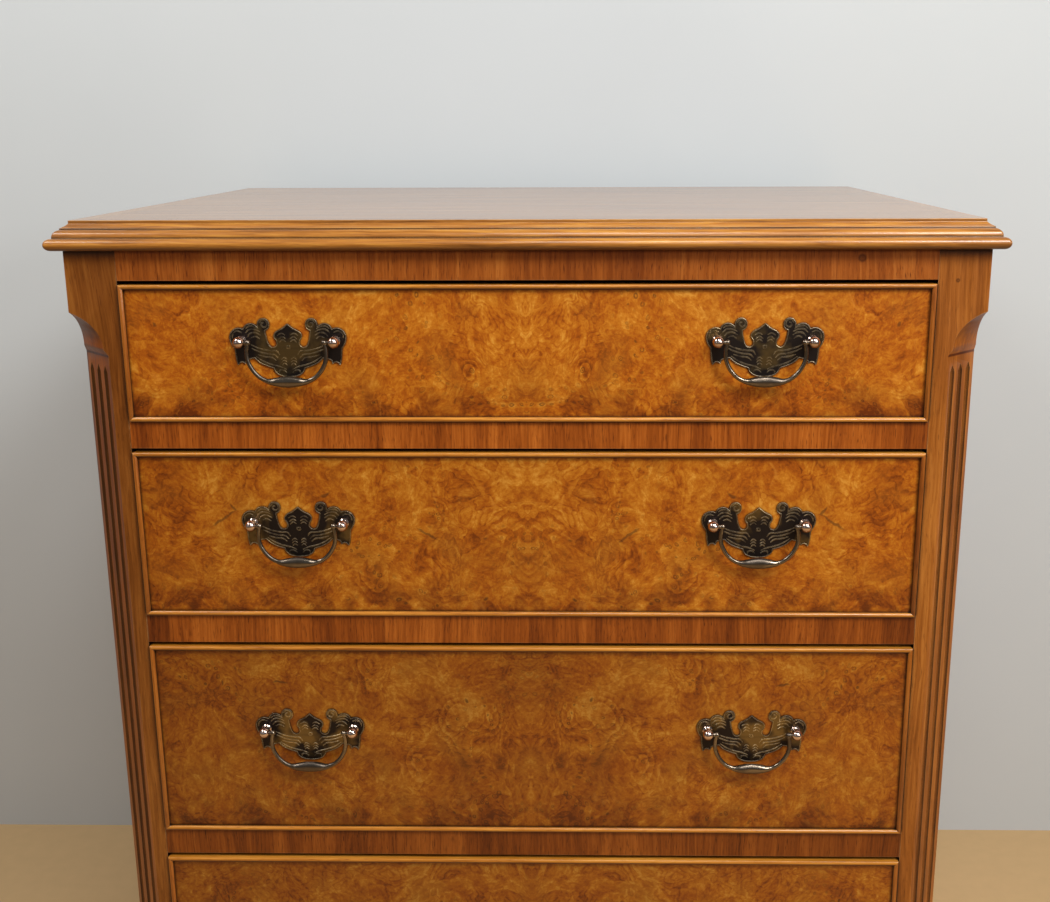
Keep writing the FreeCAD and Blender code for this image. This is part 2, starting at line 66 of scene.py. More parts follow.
# ------------------------------------------------------------------ camera
# The chest is seen from a little above its own top, nearly square on, close enough that its
# base stands below the picture.
def in_scene(name, data):
    """A new object, put in the scene."""
    thing = bpy.data.objects.new(name, data)
    scene.collection.objects.link(thing)
    return thing


view_distance_pixels = 1280.46
picture_width = 1050
eye = (0.04242, -1.08968, 0.82130)
pan, tilt_down, roll = 1.0316, 14.1918, -0.2130  # degrees
camera_data = bpy.data.cameras.new("camera")
camera_data.sensor_width = 36.0
camera_data.lens = camera_data.sensor_width * view_distance_pixels / picture_width
camera_data.shift_x = -41.0 / picture_width
camera = in_scene("camera", camera_data)
camera.matrix_world = (Matrix.Translation(eye)
                       @ Matrix.Rotation(math.radians(pan), 4, "Z")
                       @ Matrix.Rotation(math.radians(90 - tilt_down), 4, "X")
                       @ Matrix.Rotation(math.radians(roll), 4, "Z"))
scene.camera = camera
scene.view_settings.view_transform = "Standard"


# ------------------------------------------------------------------ room
# A plain pale floor with a plain pale wall close behind the chest. The wall is only there
# to look at from the front: from behind it is clear, and light passes through it.
def put(tree, kind, sockets=None, **settings):
    """A node with its settings, and its sockets given a value or fed from another socket."""
    node = tree.nodes.new("ShaderNode" + kind)
    for name, value in settings.items():
        setattr(node, name, value)
    for key, value in (sockets or {}).items():
        if isinstance(value, bpy.types.NodeSocket):
            tree.links.new(value, node.inputs[key])
        else:
            node.inputs[key].default_value = value
    return node


def shader_of(name, **values):
    """A material with its node tree and its Principled shader, whose constants are set here."""
    material = bpy.data.materials.new(name)
    material.use_nodes = True
    shader = material.node_tree.nodes["Principled BSDF"]
    for key, value in values.items():
        shader.inputs[key.replace("_", " ")].default_value = value
    return material, material.node_tree, shader


def noise(tree, vector, scale, detail=2.0, rough=0.5):
    """Soft noise between nought and one."""
    return put(tree, "TexNoise", {"Vector": vector, "Scale": scale, "Detail": detail,
                                  "Roughness": rough}).outputs["Fac"]


def painted_stage(name, colour, roughness, speckle):
    """Pale matt surface with a faint unevenness."""
    material, tree, shader = shader_of(name, Roughness=roughness)
    cloud = noise(tree, put(tree, "TexCoord").outputs["Object"], speckle, 4.0)
    tone = put(tree, "MapRange", {"Value": cloud, "To Min": 0.94, "To Max": 1.04})
    shade = put(tree, "VectorMath", {0: colour, "Scale": tone.outputs[0]}, operation="SCALE")
    tree.links.new(shade.outputs[0], shader.inputs["Base Color"])
    return material


def mesh_of(shape, name):
    """A finished bmesh turned into a mesh; the bmesh is let go."""
    mesh = bpy.data.meshes.new(name)
    shape.to_mesh(mesh)
    shape.free()
    return mesh


def stage_plane(name, matrix, material):
    """Large square sheet under or behind the chest."""
    sheet = bmesh.new()
    bmesh.ops.create_grid(sheet, x_segments=1, y_segments=1, size=half_sheet, matrix=matrix)
    plane = in_scene(name, mesh_of(sheet, name))
    plane.data.materials.append(material)
    plane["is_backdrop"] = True


half_sheet = 6.0
floor_tone, wall_tone = (0.76, 0.50, 0.24), (0.577, 0.611, 0.629)
stage_plane("floor", Matrix.Identity(4), painted_stage("floor_pale", floor_tone, 0.9, 60))
wall_paint = painted_stage("wall_pale", wall_tone, 0.8, 3)
wall_tree = wall_paint.node_tree
rays = put(wall_tree, "LightPath").outputs
light = put(wall_tree, "Math", {0: rays["Is Shadow Ray"], 1: rays["Is Diffuse Ray"]},
            operation="MAXIMUM")
back = put(wall_tree, "NewGeometry").outputs["Backfacing"]
unseen = put(wall_tree, "Math", {0: light.outputs[0], 1: back}, operation="MAXIMUM")
clear = put(wall_tree, "BsdfTransparent")
seen = put(wall_tree, "MixShader", {0: unseen.outputs[0], 2: clear.outputs[0],
                                    1: wall_tree.nodes["Principled BSDF"].outputs[0]})
wall_tree.links.new(seen.outputs[0], wall_tree.nodes["Material Output"].inputs["Surface"])
wall_y = 0.30
stage_plane("wall", Matrix.Translation((0, wall_y, half_sheet))
            @ Matrix.Rotation(math.pi / 2, 4, "X"), wall_paint)


# ------------------------------------------------------------------ light
# Soft lamps high and low across the front, strongest on the right as if a window were there,
# and an even pale room that fills the shadows.
def soft_lamp(name, at, towards, size, watts, colour):
    """Square area lamp aimed at a point."""
    data = bpy.data.lights.new(name, "AREA")
    data.size = size
    data.energy = watts
    data.color = colour
    lamp = in_scene(name, data)
    lamp.location = at
    lamp.rotation_euler = (Vector(towards) - Vector(at)).to_track_quat("-Z", "Y").to_euler()


# name, place, size and watts of each
lamps = (
    ("right_high", (0.95, -1.20, 1.75), 0.55, 23), ("middle_high", (0.15, -1.15, 1.90), 0.50, 9.5),
    ("left_high", (-1.00, -0.55, 1.70), 0.45, 8), ("right_low", (1.35, -1.40, 1.15), 0.30, 5.5),
    ("middle_low", (0.35, -1.90, 1.35), 0.30, 1.5), ("left_low", (-1.25, -1.50, 1.15), 0.30, 0.6),
)
for name, at, size, watts in lamps:
    soft_lamp(name, at, (0, 0, 0.75), size, watts, (1.0, 0.99, 0.97))
world = bpy.data.worlds.new("room")
world.use_nodes = True
glow = world.node_tree.nodes["Background"].inputs
glow["Color"].default_value = (0.80, 0.83, 0.86, 1)
glow["Strength"].default_value = 0.20
scene.world = world


# ------------------------------------------------------------------ carcass: posts
# Solid walnut corner posts, grain upright, with the front corner canted between two lamb's
# tongues and three flutes gouged down the cant. Wax, dust and painted shade darken the flutes.
def new_group(name, inputs, outputs):
    """An empty shader group with its sockets: the group, what comes in, what goes out."""
    group = bpy.data.node_groups.new(name, "ShaderNodeTree")
    kinds = {float: "NodeSocketFloat", tuple: "NodeSocketVector"}
    for label, value in inputs.items():
        socket = group.interface.new_socket(label, in_out="INPUT", socket_type=kinds[type(value)])
        socket.default_value = value
    for label in outputs:
        kind = "NodeSocketVector" if label == "Vector" else "NodeSocketFloat"
        group.interface.new_socket(label, in_out="OUTPUT", socket_type=kind)
    given = group.nodes.new("NodeGroupInput").outputs
    result = group.nodes.new("NodeGroupOutput").inputs
    return group, given, result


def use(tree, group, sockets):
    """A shader group placed in a tree; gives its outputs."""
    node = put(tree, "Group", node_tree=group)
    for key, value in sockets.items():
        if isinstance(value, bpy.types.NodeSocket):
            tree.links.new(value, node.inputs[key])
        else:
            node.inputs[key].default_value = value
    return node.outputs


def calc(tree, operation, first, second=0.5, third=0.5):
    """Result of one arithmetic step."""
    return put(tree, "Math", {0: first, 1: second, 2: third}, operation=operation).outputs[0]


def times(tree, first, second):
    """The product of two numbers."""
    return calc(tree, "MULTIPLY", first, second)


def calc3(tree, operation, first, second=(0, 0, 0), third=(0, 0, 0)):
    """Result of one step of arithmetic on the three parts of a vector."""
    return put(tree, "VectorMath", {0: first, 1: second, 2: third}, operation=operation).outputs[0]


def between(tree, value, low, high, to_low=0.0, to_high=1.0):
    """A value's place between two limits, held inside them."""
    return put(tree, "MapRange", {"Value": value, "From Min": low, "From Max": high,
                                  "To Min": to_low, "To Max": to_high}).outputs[0]


def blend(tree, share, first, second, kind="MIX"):
    """Two colours mixed."""
    node = put(tree, "Mix", {0: share}, data_type="RGBA", blend_type=kind)
    for index, value in ((6, first), (7, second)):
        if isinstance(value, bpy.types.NodeSocket):
            tree.links.new(value, node.inputs[index])
        else:
            node.inputs[index].default_value = (*value, 1.0)
    return node.outputs[2]


def shades(tree, value, stops):
    """Colour ramp through (place, colour) stops."""
    node = put(tree, "ValToRGB", {0: value})
    ramp = node.color_ramp.elements
    while len(ramp) < len(stops):
        ramp.new(0.5)
    for element, (place, colour) in zip(ramp, stops):
        element.position = place
        element.color = (*colour, 1.0)
    return node.outputs[0]


def warped(tree, vector, scale, reach, detail=2.0):
    """Pushes a vector about by soft noise."""
    push = put(tree, "TexNoise", {"Vector": vector, "Scale": scale, "Detail": detail})
    centred = calc3(tree, "SUBTRACT", push.outputs["Color"], (0.5, 0.5, 0.5))
    return calc3(tree, "MULTIPLY_ADD", centred, (reach, reach, reach), vector)


def axes(tree, vector):
    """The three parts of a vector."""
    return put(tree, "SeparateXYZ", {0: vector}).outputs


def facing_of(tree):
    """The three parts of the direction a surface faces."""
    return axes(tree, put(tree, "NewGeometry").outputs["Normal"])


def distance(tree, place, spot):
    """How far a place lies from a spot."""
    return put(tree, "VectorMath", {0: place, 1: spot}, operation="DISTANCE").outputs["Value"]


def gap(tree, first, second):
    """How far apart two numbers are."""
    return calc(tree, "ABSOLUTE", calc(tree, "SUBTRACT", first, second))


def stretched(tree, vector, scale, detail=2.0, rough=0.5):
    """Noise whose lumps are drawn out by a different scale on each axis."""
    placed = put(tree, "Mapping", {"Vector": vector, "Scale": scale}).outputs[0]
    return noise(tree, placed, 1.0, detail, rough)


def surfaced(tree, shader, colour, rough, height, strength, depth):
    """Feeds a shader its colour, its roughness and a fine relief."""
    bump = put(tree, "Bump", {"Height": height, "Strength": strength, "Distance": depth})
    tree.links.new(colour, shader.inputs["Base Color"])
    tree.links.new(rough, shader.inputs["Roughness"])
    tree.links.new(bump.outputs[0], shader.inputs["Normal"])


# long grain, which runs along X of the vector that comes in
long_grain, given, result = new_group(
    "long_grain", {"Vector": (0.0, 0.0, 0.0), "Seed": 0.0}, ["Bands", "Fibre", "Pores"])
moved = calc3(long_grain, "ADD", given["Vector"], given["Seed"])
sway = put(long_grain, "TexNoise", {"Vector": moved, "Scale": 7.0, "Detail": 2.0})
swayed = calc3(long_grain, "MULTIPLY_ADD", sway.outputs["Color"], (0.0, 0.014, 0.014), moved)
for label, scale, detail in (("Bands", (5, 70, 70), 4.0), ("Fibre", (16, 620, 620), 3.0)):
    long_grain.links.new(stretched(long_grain, swayed, scale, detail, 0.6), result[label])
pore = stretched(long_grain, swayed, (110, 2100, 2100), 1.0)
long_grain.links.new(between(long_grain, pore, 0.60, 0.74), result["Pores"])

# arrises rubbed by hands and dusters, from how far the surface turns within a small radius
edge_wear, given, result = new_group(
    "edge_wear", {"Vector": (0.0, 0.0, 0.0), "Radius": 0.0012, "Patchiness": 40.0}, ["Wear"])
rounded = put(edge_wear, "Bevel", {"Radius": given["Radius"]}, samples=6)
flat = put(edge_wear, "NewGeometry")
facing = put(edge_wear, "VectorMath", {0: rounded.outputs[0], 1: flat.outputs["Normal"]},
             operation="DOT_PRODUCT")
arris = between(edge_wear, facing.outputs["Value"], 0.985, 0.86)
patch = noise(edge_wear, given["Vector"], given["Patchiness"], 5.0, 0.7)
patch = between(edge_wear, patch, 0.38, 0.56)
edge_wear.links.new(times(edge_wear, arris, patch), result["Wear"])

# wax and dust left in corners, with painted shade there, from how much of the sky a point sees
# close by
crevice_dirt_and_shade, given, result = new_group(
    "crevice_dirt_and_shade", {"Vector": (0.0, 0.0, 0.0), "Reach": 0.004}, ["Dirt", "Open"])
open_sky = put(crevice_dirt_and_shade, "AmbientOcclusion", {"Distance": given["Reach"]}, samples=8)
patch = noise(crevice_dirt_and_shade, given["Vector"], 90.0, 4.0)
patch = between(crevice_dirt_and_shade, patch, 0.3, 0.7, 0.8, 1.1)
shut = between(crevice_dirt_and_shade, open_sky.outputs["AO"], 0.85, 0.35)
crevice_dirt_and_shade.links.new(times(crevice_dirt_and_shade, shut, patch), result["Dirt"])
crevice_dirt_and_shade.links.new(between(crevice_dirt_and_shade, open_sky.outputs["AO"], 0.70, 0.92), result["Open"])

# what gathers in corners, darkened further there as painted shade, and bare wood where the polish
# has gone
dirt_and_shade_colour = (0.022, 0.009, 0.004)
scuff_colour = (0.64, 0.42, 0.19)
# how a board's grain is turned to run along X of the vector that comes in
grain_turns = {"X": (0, 0, 0), "Y": (0, 0, math.pi / 2), "Z": (0, math.pi / 2, 0)}


def grain_turned(tree, place, grain):
    """A place turned so that the grain runs along its X."""
    return put(tree, "Mapping", {"Vector": place, "Rotation": grain_turns[grain]}).outputs[0]


def past_mitre(tree, place, middle, slope, level):
    """One beyond a mitre and nought before it.

    The place is folded on a middle, and the mitre is where it reaches a level along a slope.
    """
    folded = calc3(tree, "ABSOLUTE", calc3(tree, "SUBTRACT", place, middle))
    reach = put(tree, "VectorMath", {0: folded, 1: slope}, operation="DOT_PRODUCT")
    return calc(tree, "GREATER_THAN", reach.outputs["Value"], level)


def laid_leaves(tree, place, tone, width, seed):
    """Veneer laid in short leaves side by side: the tone of each, and how near a seam is."""
    across = axes(tree, warped(tree, place, 30.0, 0.004))["X"]
    across = calc(tree, "DIVIDE", across, width)
    seam = calc(tree, "PINGPONG", calc(tree, "FRACT", across), 0.5)
    leaf = calc(tree, "ADD", calc(tree, "FLOOR", across), seed)
    leaf = put(tree, "TexWhiteNoise", {"W": leaf}, noise_dimensions="1D").outputs["Value"]
    return calc(tree, "MULTIPLY_ADD", calc(tree, "SUBTRACT", leaf, 0.5), 0.10, tone), seam


def walnut(name, grain, tones, seed=0.0, depth=1.0, pores=0.55, leaf_width=None, mitre=None,
           upright_painted_shade=0.0, scuffs=0.5, dirt_and_shade_reach=0.004, dirt_and_shade_share=1.25, polish=0.45, gleam=0.2,
           ripple=0.0, timber_marks=(), surface_marks=()):
    """Polished walnut with its grain along one axis, or along a second one past a mitre.

    A mark takes the tree, the place and the colour, and gives the marked colour. Marks of the
    timber lie under the wear, the dirt and the painted shade of corners, and marks of the surface
    over them.
    """
    pale, mid, dark = [tuple(part * depth for part in tone) for tone in tones]
    material, tree, shader = shader_of(name, Coat_Roughness=0.18, Coat_Weight=polish,
                                       Specular_IOR_Level=gleam)
    place = put(tree, "TexCoord").outputs["Object"]
    along = grain_turned(tree, place, grain)
    if mitre:
        second_grain, middle, slope, level = mitre
        past = past_mitre(tree, place, middle, slope, level)
        along = put(tree, "Mix", {0: past, 4: along, 5: grain_turned(tree, place, second_grain)},
                    data_type="VECTOR").outputs[1]
    figure = use(tree, long_grain, {"Vector": along, "Seed": seed})
    tone = calc(tree, "MULTIPLY_ADD", figure["Fibre"], 0.45, times(tree, figure["Bands"], 0.55))
    if leaf_width:
        tone, seam = laid_leaves(tree, place, tone, leaf_width, seed)
    colour = shades(tree, tone, [(0.34, dark), (0.50, mid), (0.66, pale)])
    colour = blend(tree, times(tree, figure["Pores"], pores), colour, dark, "MULTIPLY")
    if leaf_width:
        colour = blend(tree, between(tree, seam, 0.008, 0.003, 0.0, 0.3), colour,
                       (0.16, 0.10, 0.07), "MULTIPLY")
    # uprights past the mitre painted darker and redder, as shade for the light from above
    if upright_painted_shade:
        colour = blend(tree, times(tree, past, upright_painted_shade), colour, (0.60, 0.42, 0.30), "MULTIPLY")
    for mark in timber_marks:
        colour = mark(tree, place, colour)
    # dust and wax in corners, darkened further as painted shade, and bare wood on open arrises
    grime_and_shade = use(tree, crevice_dirt_and_shade, {"Vector": place, "Reach": dirt_and_shade_reach})
    worn = times(tree, use(tree, edge_wear, {"Vector": place})["Wear"], grime_and_shade["Open"])
    colour = blend(tree, times(tree, worn, scuffs), colour, scuff_colour)
    colour = blend(tree, calc(tree, "MINIMUM", times(tree, grime_and_shade["Dirt"], dirt_and_shade_share), 1.0),
                   colour, dirt_and_shade_colour)
    for mark in surface_marks:
        colour = mark(tree, place, colour)
    rough = between(tree, figure["Fibre"], 0.3, 0.7, 0.34, 0.48)
    height = calc(tree, "SUBTRACT", figure["Fibre"], figure["Pores"])
    if ripple:
        height = calc(tree, "MULTIPLY_ADD", noise(tree, place, 130.0), ripple, height)
    surfaced(tree, shader, colour, rough, height, 0.12, 0.0003)
    return material


def knot_at(spot, radius):
    """Mark of a small dark knot with a ring round it."""
    def knot(tree, place, colour):
        away = calc(tree, "DIVIDE", distance(tree, place, spot), radius)
        ring = calc(tree, "SUBTRACT", between(tree, away, 1.3, 0.8),
                    between(tree, away, 0.7, 0.3, 0.0, 0.3))
        return blend(tree, times(tree, ring, 0.65), colour, (0.10, 0.06, 0.04), "MULTIPLY")
    return knot


def painted_cant_light_and_shade(cant_painted_light):
    """Mark of a post's cant: painted shade under its tongues and at their ends, and painted light
    that makes the rest brighter.
    """
    def marks(tree, place, colour):
        faces = facing_of(tree)
        level = axes(tree, place)["Z"]
        slant = calc(tree, "ABSOLUTE", times(tree, faces["X"], faces["Y"]))
        slant = between(tree, slant, 0.22, 0.32)
        shade = between(tree, faces["Z"], -0.08, -0.35, 0.0, 0.4)
        for end in tongue_ends:
            line = between(tree, gap(tree, level, end), 0.0012, 0.0007, 0.0, 0.95)
            shade = calc(tree, "MAXIMUM", shade, line)
        colour = blend(tree, times(tree, shade, slant), colour, (0.28, 0.15, 0.08), "MULTIPLY")
        upright = between(tree, calc(tree, "ABSOLUTE", faces["Z"]), 0.30, 0.10)
        return blend(tree, times(tree, slant, upright), colour,
                     calc3(tree, "MULTIPLY", colour, cant_painted_light))
    return marks


def whole(shape):
    """Every vertex, edge and face of a bmesh."""
    return shape.verts[:] + shape.edges[:] + shape.faces[:]


def weld(shape):
    """Joins the points that lie in one place."""
    bmesh.ops.remove_doubles(shape, verts=shape.verts, dist=1e-6)


def simplify(shape):
    """Joins the faces that lie flat with each other."""
    bmesh.ops.dissolve_limit(shape, angle_limit=math.radians(1), verts=shape.verts,
                             edges=shape.edges)


def eased(node, body, material, arris=0.0004, cap=None, shape=None):
    """A piece for a frame node: the node's own shape, or one given, with its arrises eased.

    Where a cap is given, it finishes the flat top of the piece.
    """
    sharp_from = math.radians(34)
    if shape is None:
        shape = bmesh.new()
        shape.from_mesh(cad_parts[node].data)
    weld(shape)
    simplify(shape)
    top = max(vert.co.z for vert in shape.verts)
    for face in shape.faces:
        face.material_index = int(cap is not None and face.calc_center_median().z > top - 1e-5)
    mesh = mesh_of(shape, node + "_eased")
    mesh.shade_smooth()
    mesh.set_sharp_from_angle(angle=sharp_from)
    mesh.materials.append(material)
    if cap:
        mesh.materials.append(cap)
    piece = in_scene(node + "_eased", mesh)
    bevel = piece.modifiers.new("arrises", "BEVEL")
    bevel.width = arris
    bevel.segments = 2
    bevel.limit_method = "ANGLE"
    bevel.angle_limit = sharp_from
    bevel.harden_normals = True
    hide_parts(node)
    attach(piece, body)


post_tones = ((0.400, 0.142, 0.021), (0.264, 0.079, 0.009), (0.140, 0.036, 0.003))
tongue_ends = (0.6705, 0.1658)
# each side's depth of colour, the left one painted darker as shade, and how much painted light
# brightens its cant
for side, depth, cant_painted_light in (("left", 0.70, (1.45, 1.20, 1.0)),
                              ("right", 1.00, (1.10, 1.06, 1.0))):
    post_walnut = walnut("walnut_post_" + side, "Z", post_tones, seed=3.0 + depth, depth=depth,
                         pores=0.45, scuffs=0.35, dirt_and_shade_reach=0.009, dirt_and_shade_share=3.2, polish=0.12,
                         timber_marks=[knot_at((0.2885, -0.2310, 0.7215), 0.0013)],
                         surface_marks=[painted_cant_light_and_shade(cant_painted_light)])
    eased("corner_post_" + side, "carcass", post_walnut)


# ------------------------------------------------------------------ carcass: rails
# Softwood rails faced with walnut veneer laid across them, so that its grain stands upright
# in short lengths between the posts.
def patched_beyond(start, end):
    """Mark of a darker piece of veneer let in beyond a place along the rail."""
    def patch(tree, place, colour):
        beyond = axes(tree, warped(tree, place, 60.0, 0.002))["X"]
        beyond = between(tree, beyond, start, end, 0.0, 0.6)
        return blend(tree, beyond, colour, (0.40, 0.30, 0.26), "MULTIPLY")
    return patch


rail_tones = ((0.430, 0.120, 0.013), (0.275, 0.064, 0.005), (0.135, 0.026, 0.002))
plainer_tones = ((0.395, 0.121, 0.016), (0.275, 0.069, 0.007), (0.172, 0.038, 0.004))
rail_marks = {
    "top_rail": [knot_at((0.2243, -0.2310, 0.7365), 0.0026)],
    "divider_rail_2": [patched_beyond(-0.258, -0.260), patched_beyond(0.2515, 0.2535)],
}
# each rail's depth of colour is painted shade: under the moulding at the top, and deeper towards
# the bottom
rails = (("top_rail", 0.95), ("divider_rail_1", 1.0), ("divider_rail_2", 0.90),
         ("divider_rail_3", 0.66), ("bottom_rail", 0.66))
for number, (rail, depth) in enumerate(rails):
    tones = plainer_tones if rail == "top_rail" else rail_tones
    rail_walnut = walnut("walnut_" + rail, "Z", tones, seed=11.0 + 3.7 * number, depth=depth,
                         pores=0.75, leaf_width=0.052, scuffs=0.3, polish=0.1,
                         timber_marks=rail_marks.get(rail, ()))
    eased(rail, "carcass", rail_walnut, arris=0.0003)


# ------------------------------------------------------------------ carcass: sides
# Boards faced with upright straight-grained walnut veneer. Each is tongued into its corner
# post and runs back to the rebate that takes the back panel.
side_tones = ((0.325, 0.098, 0.014), (0.240, 0.064, 0.008), (0.150, 0.036, 0.004))
side_walnut = walnut("walnut_side", "Z", side_tones, seed=23.0, polish=0.3)
for side in ("left", "right"):
    eased("side_" + side, "carcass", side_walnut)


# ------------------------------------------------------------------ carcass: inside and back
# The bottom board, rear rail, runners and stops are plain pale timber, left bare where
# nothing shows, and the back is thin plywood pinned in its rebates.
def finish_node(nodes, material):
    """Frame pieces kept as they are, with their real finish."""
    for node in nodes:
        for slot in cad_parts[node].material_slots:
            slot.material = material


def bare_wood(name, grain, tones, seed):
    """Unpolished timber, sanded and dusty, with painted shade in its corners."""
    pale, dark = tones
    material, tree, shader = shader_of(name)
    place = put(tree, "TexCoord").outputs["Object"]
    figure = use(tree, long_grain, {"Vector": grain_turned(tree, place, grain), "Seed": seed})
    tone = calc(tree, "MULTIPLY_ADD", figure["Fibre"], 0.4, times(tree, figure["Bands"], 0.6))
    colour = shades(tree, tone, [(0.38, dark), (0.62, pale)])
    # dust and painted shade in corners
    grime_and_shade = use(tree, crevice_dirt_and_shade, {"Vector": place, "Reach": 0.008})["Dirt"]
    colour = blend(tree, times(tree, grime_and_shade, 0.6), colour, dirt_and_shade_colour)
    rough = between(tree, figure["Fibre"], 0.3, 0.7, 0.6, 0.8)
    surfaced(tree, shader, colour, rough, figure["Fibre"], 0.2, 0.0004)
    return material


lining_tones = ((0.52, 0.36, 0.20), (0.36, 0.23, 0.12))
ply_tones = ((0.44, 0.29, 0.15), (0.31, 0.19, 0.09))
lining_across = bare_wood("lining_across", "X", lining_tones, 5.0)
lining_along = bare_wood("lining_along", "Y", lining_tones, 9.0)
ply = bare_wood("plywood_back", "Z", ply_tones, 31.0)
finish_node(["bottom_board", "rear_rail"], lining_across)
finish_node(["drawer_runners", "drawer_stops"], lining_along)
finish_node(["back_panel"], ply)


# ------------------------------------------------------------------ base
# A walnut frame, moulded at the front and sides, is screwed up under the carcass. It stands
# on bracket feet cut from walnut boards.
base_tones = ((0.345, 0.110, 0.016), (0.250, 0.070, 0.009), (0.140, 0.036, 0.004))
base_mitre = ("Y", (0.0, -0.0015, 0.0), (1.0, -1.0, 0.0), 0.0805)
for number, node in enumerate(("base_frame", "front_foot_left", "front_foot_right", "rear_feet")):
    base_walnut = walnut("walnut_" + node, "X", base_tones, seed=41.0 + 5.3 * number,
                         mitre=base_mitre, polish=0.3)
    eased(node, "carcass", base_walnut, arris=0.0006)


# ------------------------------------------------------------------ top
# Walnut-veneered board held in a moulding of solid walnut, mitred at its two front corners.
# Hands have worn the corners round, and a dark line of wax and painted shade runs in the quirk
# under the upper lip.
def painted_underside_shade(share):
    """Mark of a moulding's lower faces, painted darker as the shade under them."""
    def marks(tree, place, colour):
        low = between(tree, facing_of(tree)["Z"], 0.25, -0.75, 0.0, share)
        return blend(tree, low, colour, (0.10, 0.045, 0.02), "MULTIPLY")
    return marks


def quirk_shade_line(middle, half, share):
    """Mark of a dark line of wax and painted shade round a moulding at one height."""
    def line(tree, place, colour):
        away = gap(tree, axes(tree, place)["Z"], middle)
        dark = between(tree, away, half + 0.0003, half, 0.0, share)
        return blend(tree, dark, colour, dirt_and_shade_colour)
    return line


top_tones = ((0.46, 0.235, 0.085), (0.35, 0.165, 0.056), (0.21, 0.092, 0.032))
edge_tones = ((0.60, 0.275, 0.042), (0.39, 0.142, 0.015), (0.13, 0.038, 0.004))
top_mitre = ("Y", (0.0, -1.0, 0.0), (1.0, 1.0, 0.0), 1.07905)
top_walnut = walnut("walnut_top", "X", top_tones, seed=53.0, polish=0.9)
lip_walnut = walnut("walnut_lip", "X", top_tones, seed=57.0, mitre=top_mitre, polish=0.9)
edge_walnut = walnut("walnut_edge", "X", edge_tones, seed=61.0, pores=0.3, mitre=top_mitre,
                     scuffs=1.1, dirt_and_shade_reach=0.003, dirt_and_shade_share=3.5, polish=0.6, gleam=0.28, ripple=6.0,
                     surface_marks=[quirk_shade_line(0.7565, 0.0004, 0.45), painted_underside_shade(0.8)])
finish_node(["top_board"], top_walnut)


def face_out(shape):
    """Turns every face of a closed shape outwards."""
    bmesh.ops.recalc_face_normals(shape, faces=shape.faces)


# the section of the moulding, cut from the frame's own at the middle of the front
moulding = bmesh.new()
moulding.from_mesh(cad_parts["top_moulding"].data)
bmesh.ops.bisect_plane(moulding, geom=whole(moulding), plane_co=(0, 0, 0), plane_no=(1, 0, 0),
                       clear_inner=True, clear_outer=True)
weld(moulding)
bmesh.ops.contextual_create(moulding, geom=moulding.edges)
simplify(moulding)
section = [(-vert.co.y, vert.co.z) for vert in moulding.faces[0].verts]
moulding.clear()

# the section swept round the board, along a small arc at each front corner
board_front = min(out for out, level in section)
board_side, back_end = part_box("top_board")[1].xy
widest = max(out for out, level in section) - board_front
corner_wear = 0.0022
# where the section stands: the side, and the angle round its corner, or None at the back
stations = [(-1, None)] + [(-1, 180 + 15 * step) for step in range(7)]
stations += [(1, 270 + 15 * step) for step in range(7)] + [(1, None)]
rings = []
for side, angle in stations:
    ring = []
    for out, level in section:
        reach = out - board_front
        worn = corner_wear * reach / widest
        across, front = board_side + reach - worn, out - worn
        if angle is None:
            place = (side * (across + worn), back_end, level)
        else:
            turn = math.radians(angle)
            place = (side * across + worn * math.cos(turn), worn * math.sin(turn) - front, level)
        ring.append(moulding.verts.new(place))
    rings.append([moulding.edges.new((ring[spot - 1], ring[spot])) for spot in range(len(ring))])
for first, second in zip(rings, rings[1:]):
    bmesh.ops.bridge_loops(moulding, edges=first + second)
for ring in (rings[0], rings[-1]):
    bmesh.ops.contextual_create(moulding, geom=ring)
weld(moulding)
face_out(moulding)
eased("top_moulding", "carcass", edge_walnut, cap=lip_walnut, shape=moulding)


# ------------------------------------------------------------------ drawers: fronts
# Softwood fronts faced with burr walnut: two leaves opened like a book on the middle line.
# The rings of the burr wander like contour lines, close up round eyes and crowd with pips.

# The figure of one leaf, in the plane of its XY vector. Rise lifts the rings round an eye,
# and Crowd packs pips.
burr, given, result = new_group(
    "burr_figure", {"Vector": (0.0, 0.0, 0.0), "Seed": 0.0, "Rise": 0.0, "Crowd": 0.0},
    ["Tone", "Pips", "Vein", "Cluster"])
drift = warped(burr, calc3(burr, "ADD", given["Vector"], given["Seed"]), 13.0, 0.030)
curl = warped(burr, drift, 45.0, 0.008)
crinkle = warped(burr, curl, 150.0, 0.0022)
# rings, each dark on its upper side, that show in some places and round every eye
hills = calc(burr, "ADD", noise(burr, curl, 17.0, 1.0, 0.4), given["Rise"])
ring = calc(burr, "FRACT", times(burr, hills, 10.0))
ring = times(burr, ring, between(burr, ring, 1.0, 0.86))
ring_shown = between(burr, noise(burr, drift, 23.0), 0.40, 0.62, 0.1, 1.0)
ring_shown = calc(burr, "MAXIMUM", ring_shown,
                  between(burr, given["Rise"], 0.02, 0.12, 0.0, 1.5))
ring = times(burr, calc(burr, "SUBTRACT", ring, 0.45), ring_shown)
# tufts of fibre, each combed its own way, and specks
tufts = put(burr, "TexVoronoi", {"Vector": curl, "Scale": 42.0})
tuft = axes(burr, tufts.outputs["Color"])
combed = put(burr, "VectorRotate", {
    "Vector": crinkle, "Center": tufts.outputs["Position"],
    "Angle": times(burr, tuft[0], 6.0)}, rotation_type="Z_AXIS").outputs[0]
combed = put(burr, "Mapping", {"Vector": combed, "Scale": (1.0, 2.2, 1.0)}).outputs[0]
combed = noise(burr, combed, 95.0, 3.0, 0.55)
specks = noise(burr, crinkle, 480.0, 3.0, 0.7)
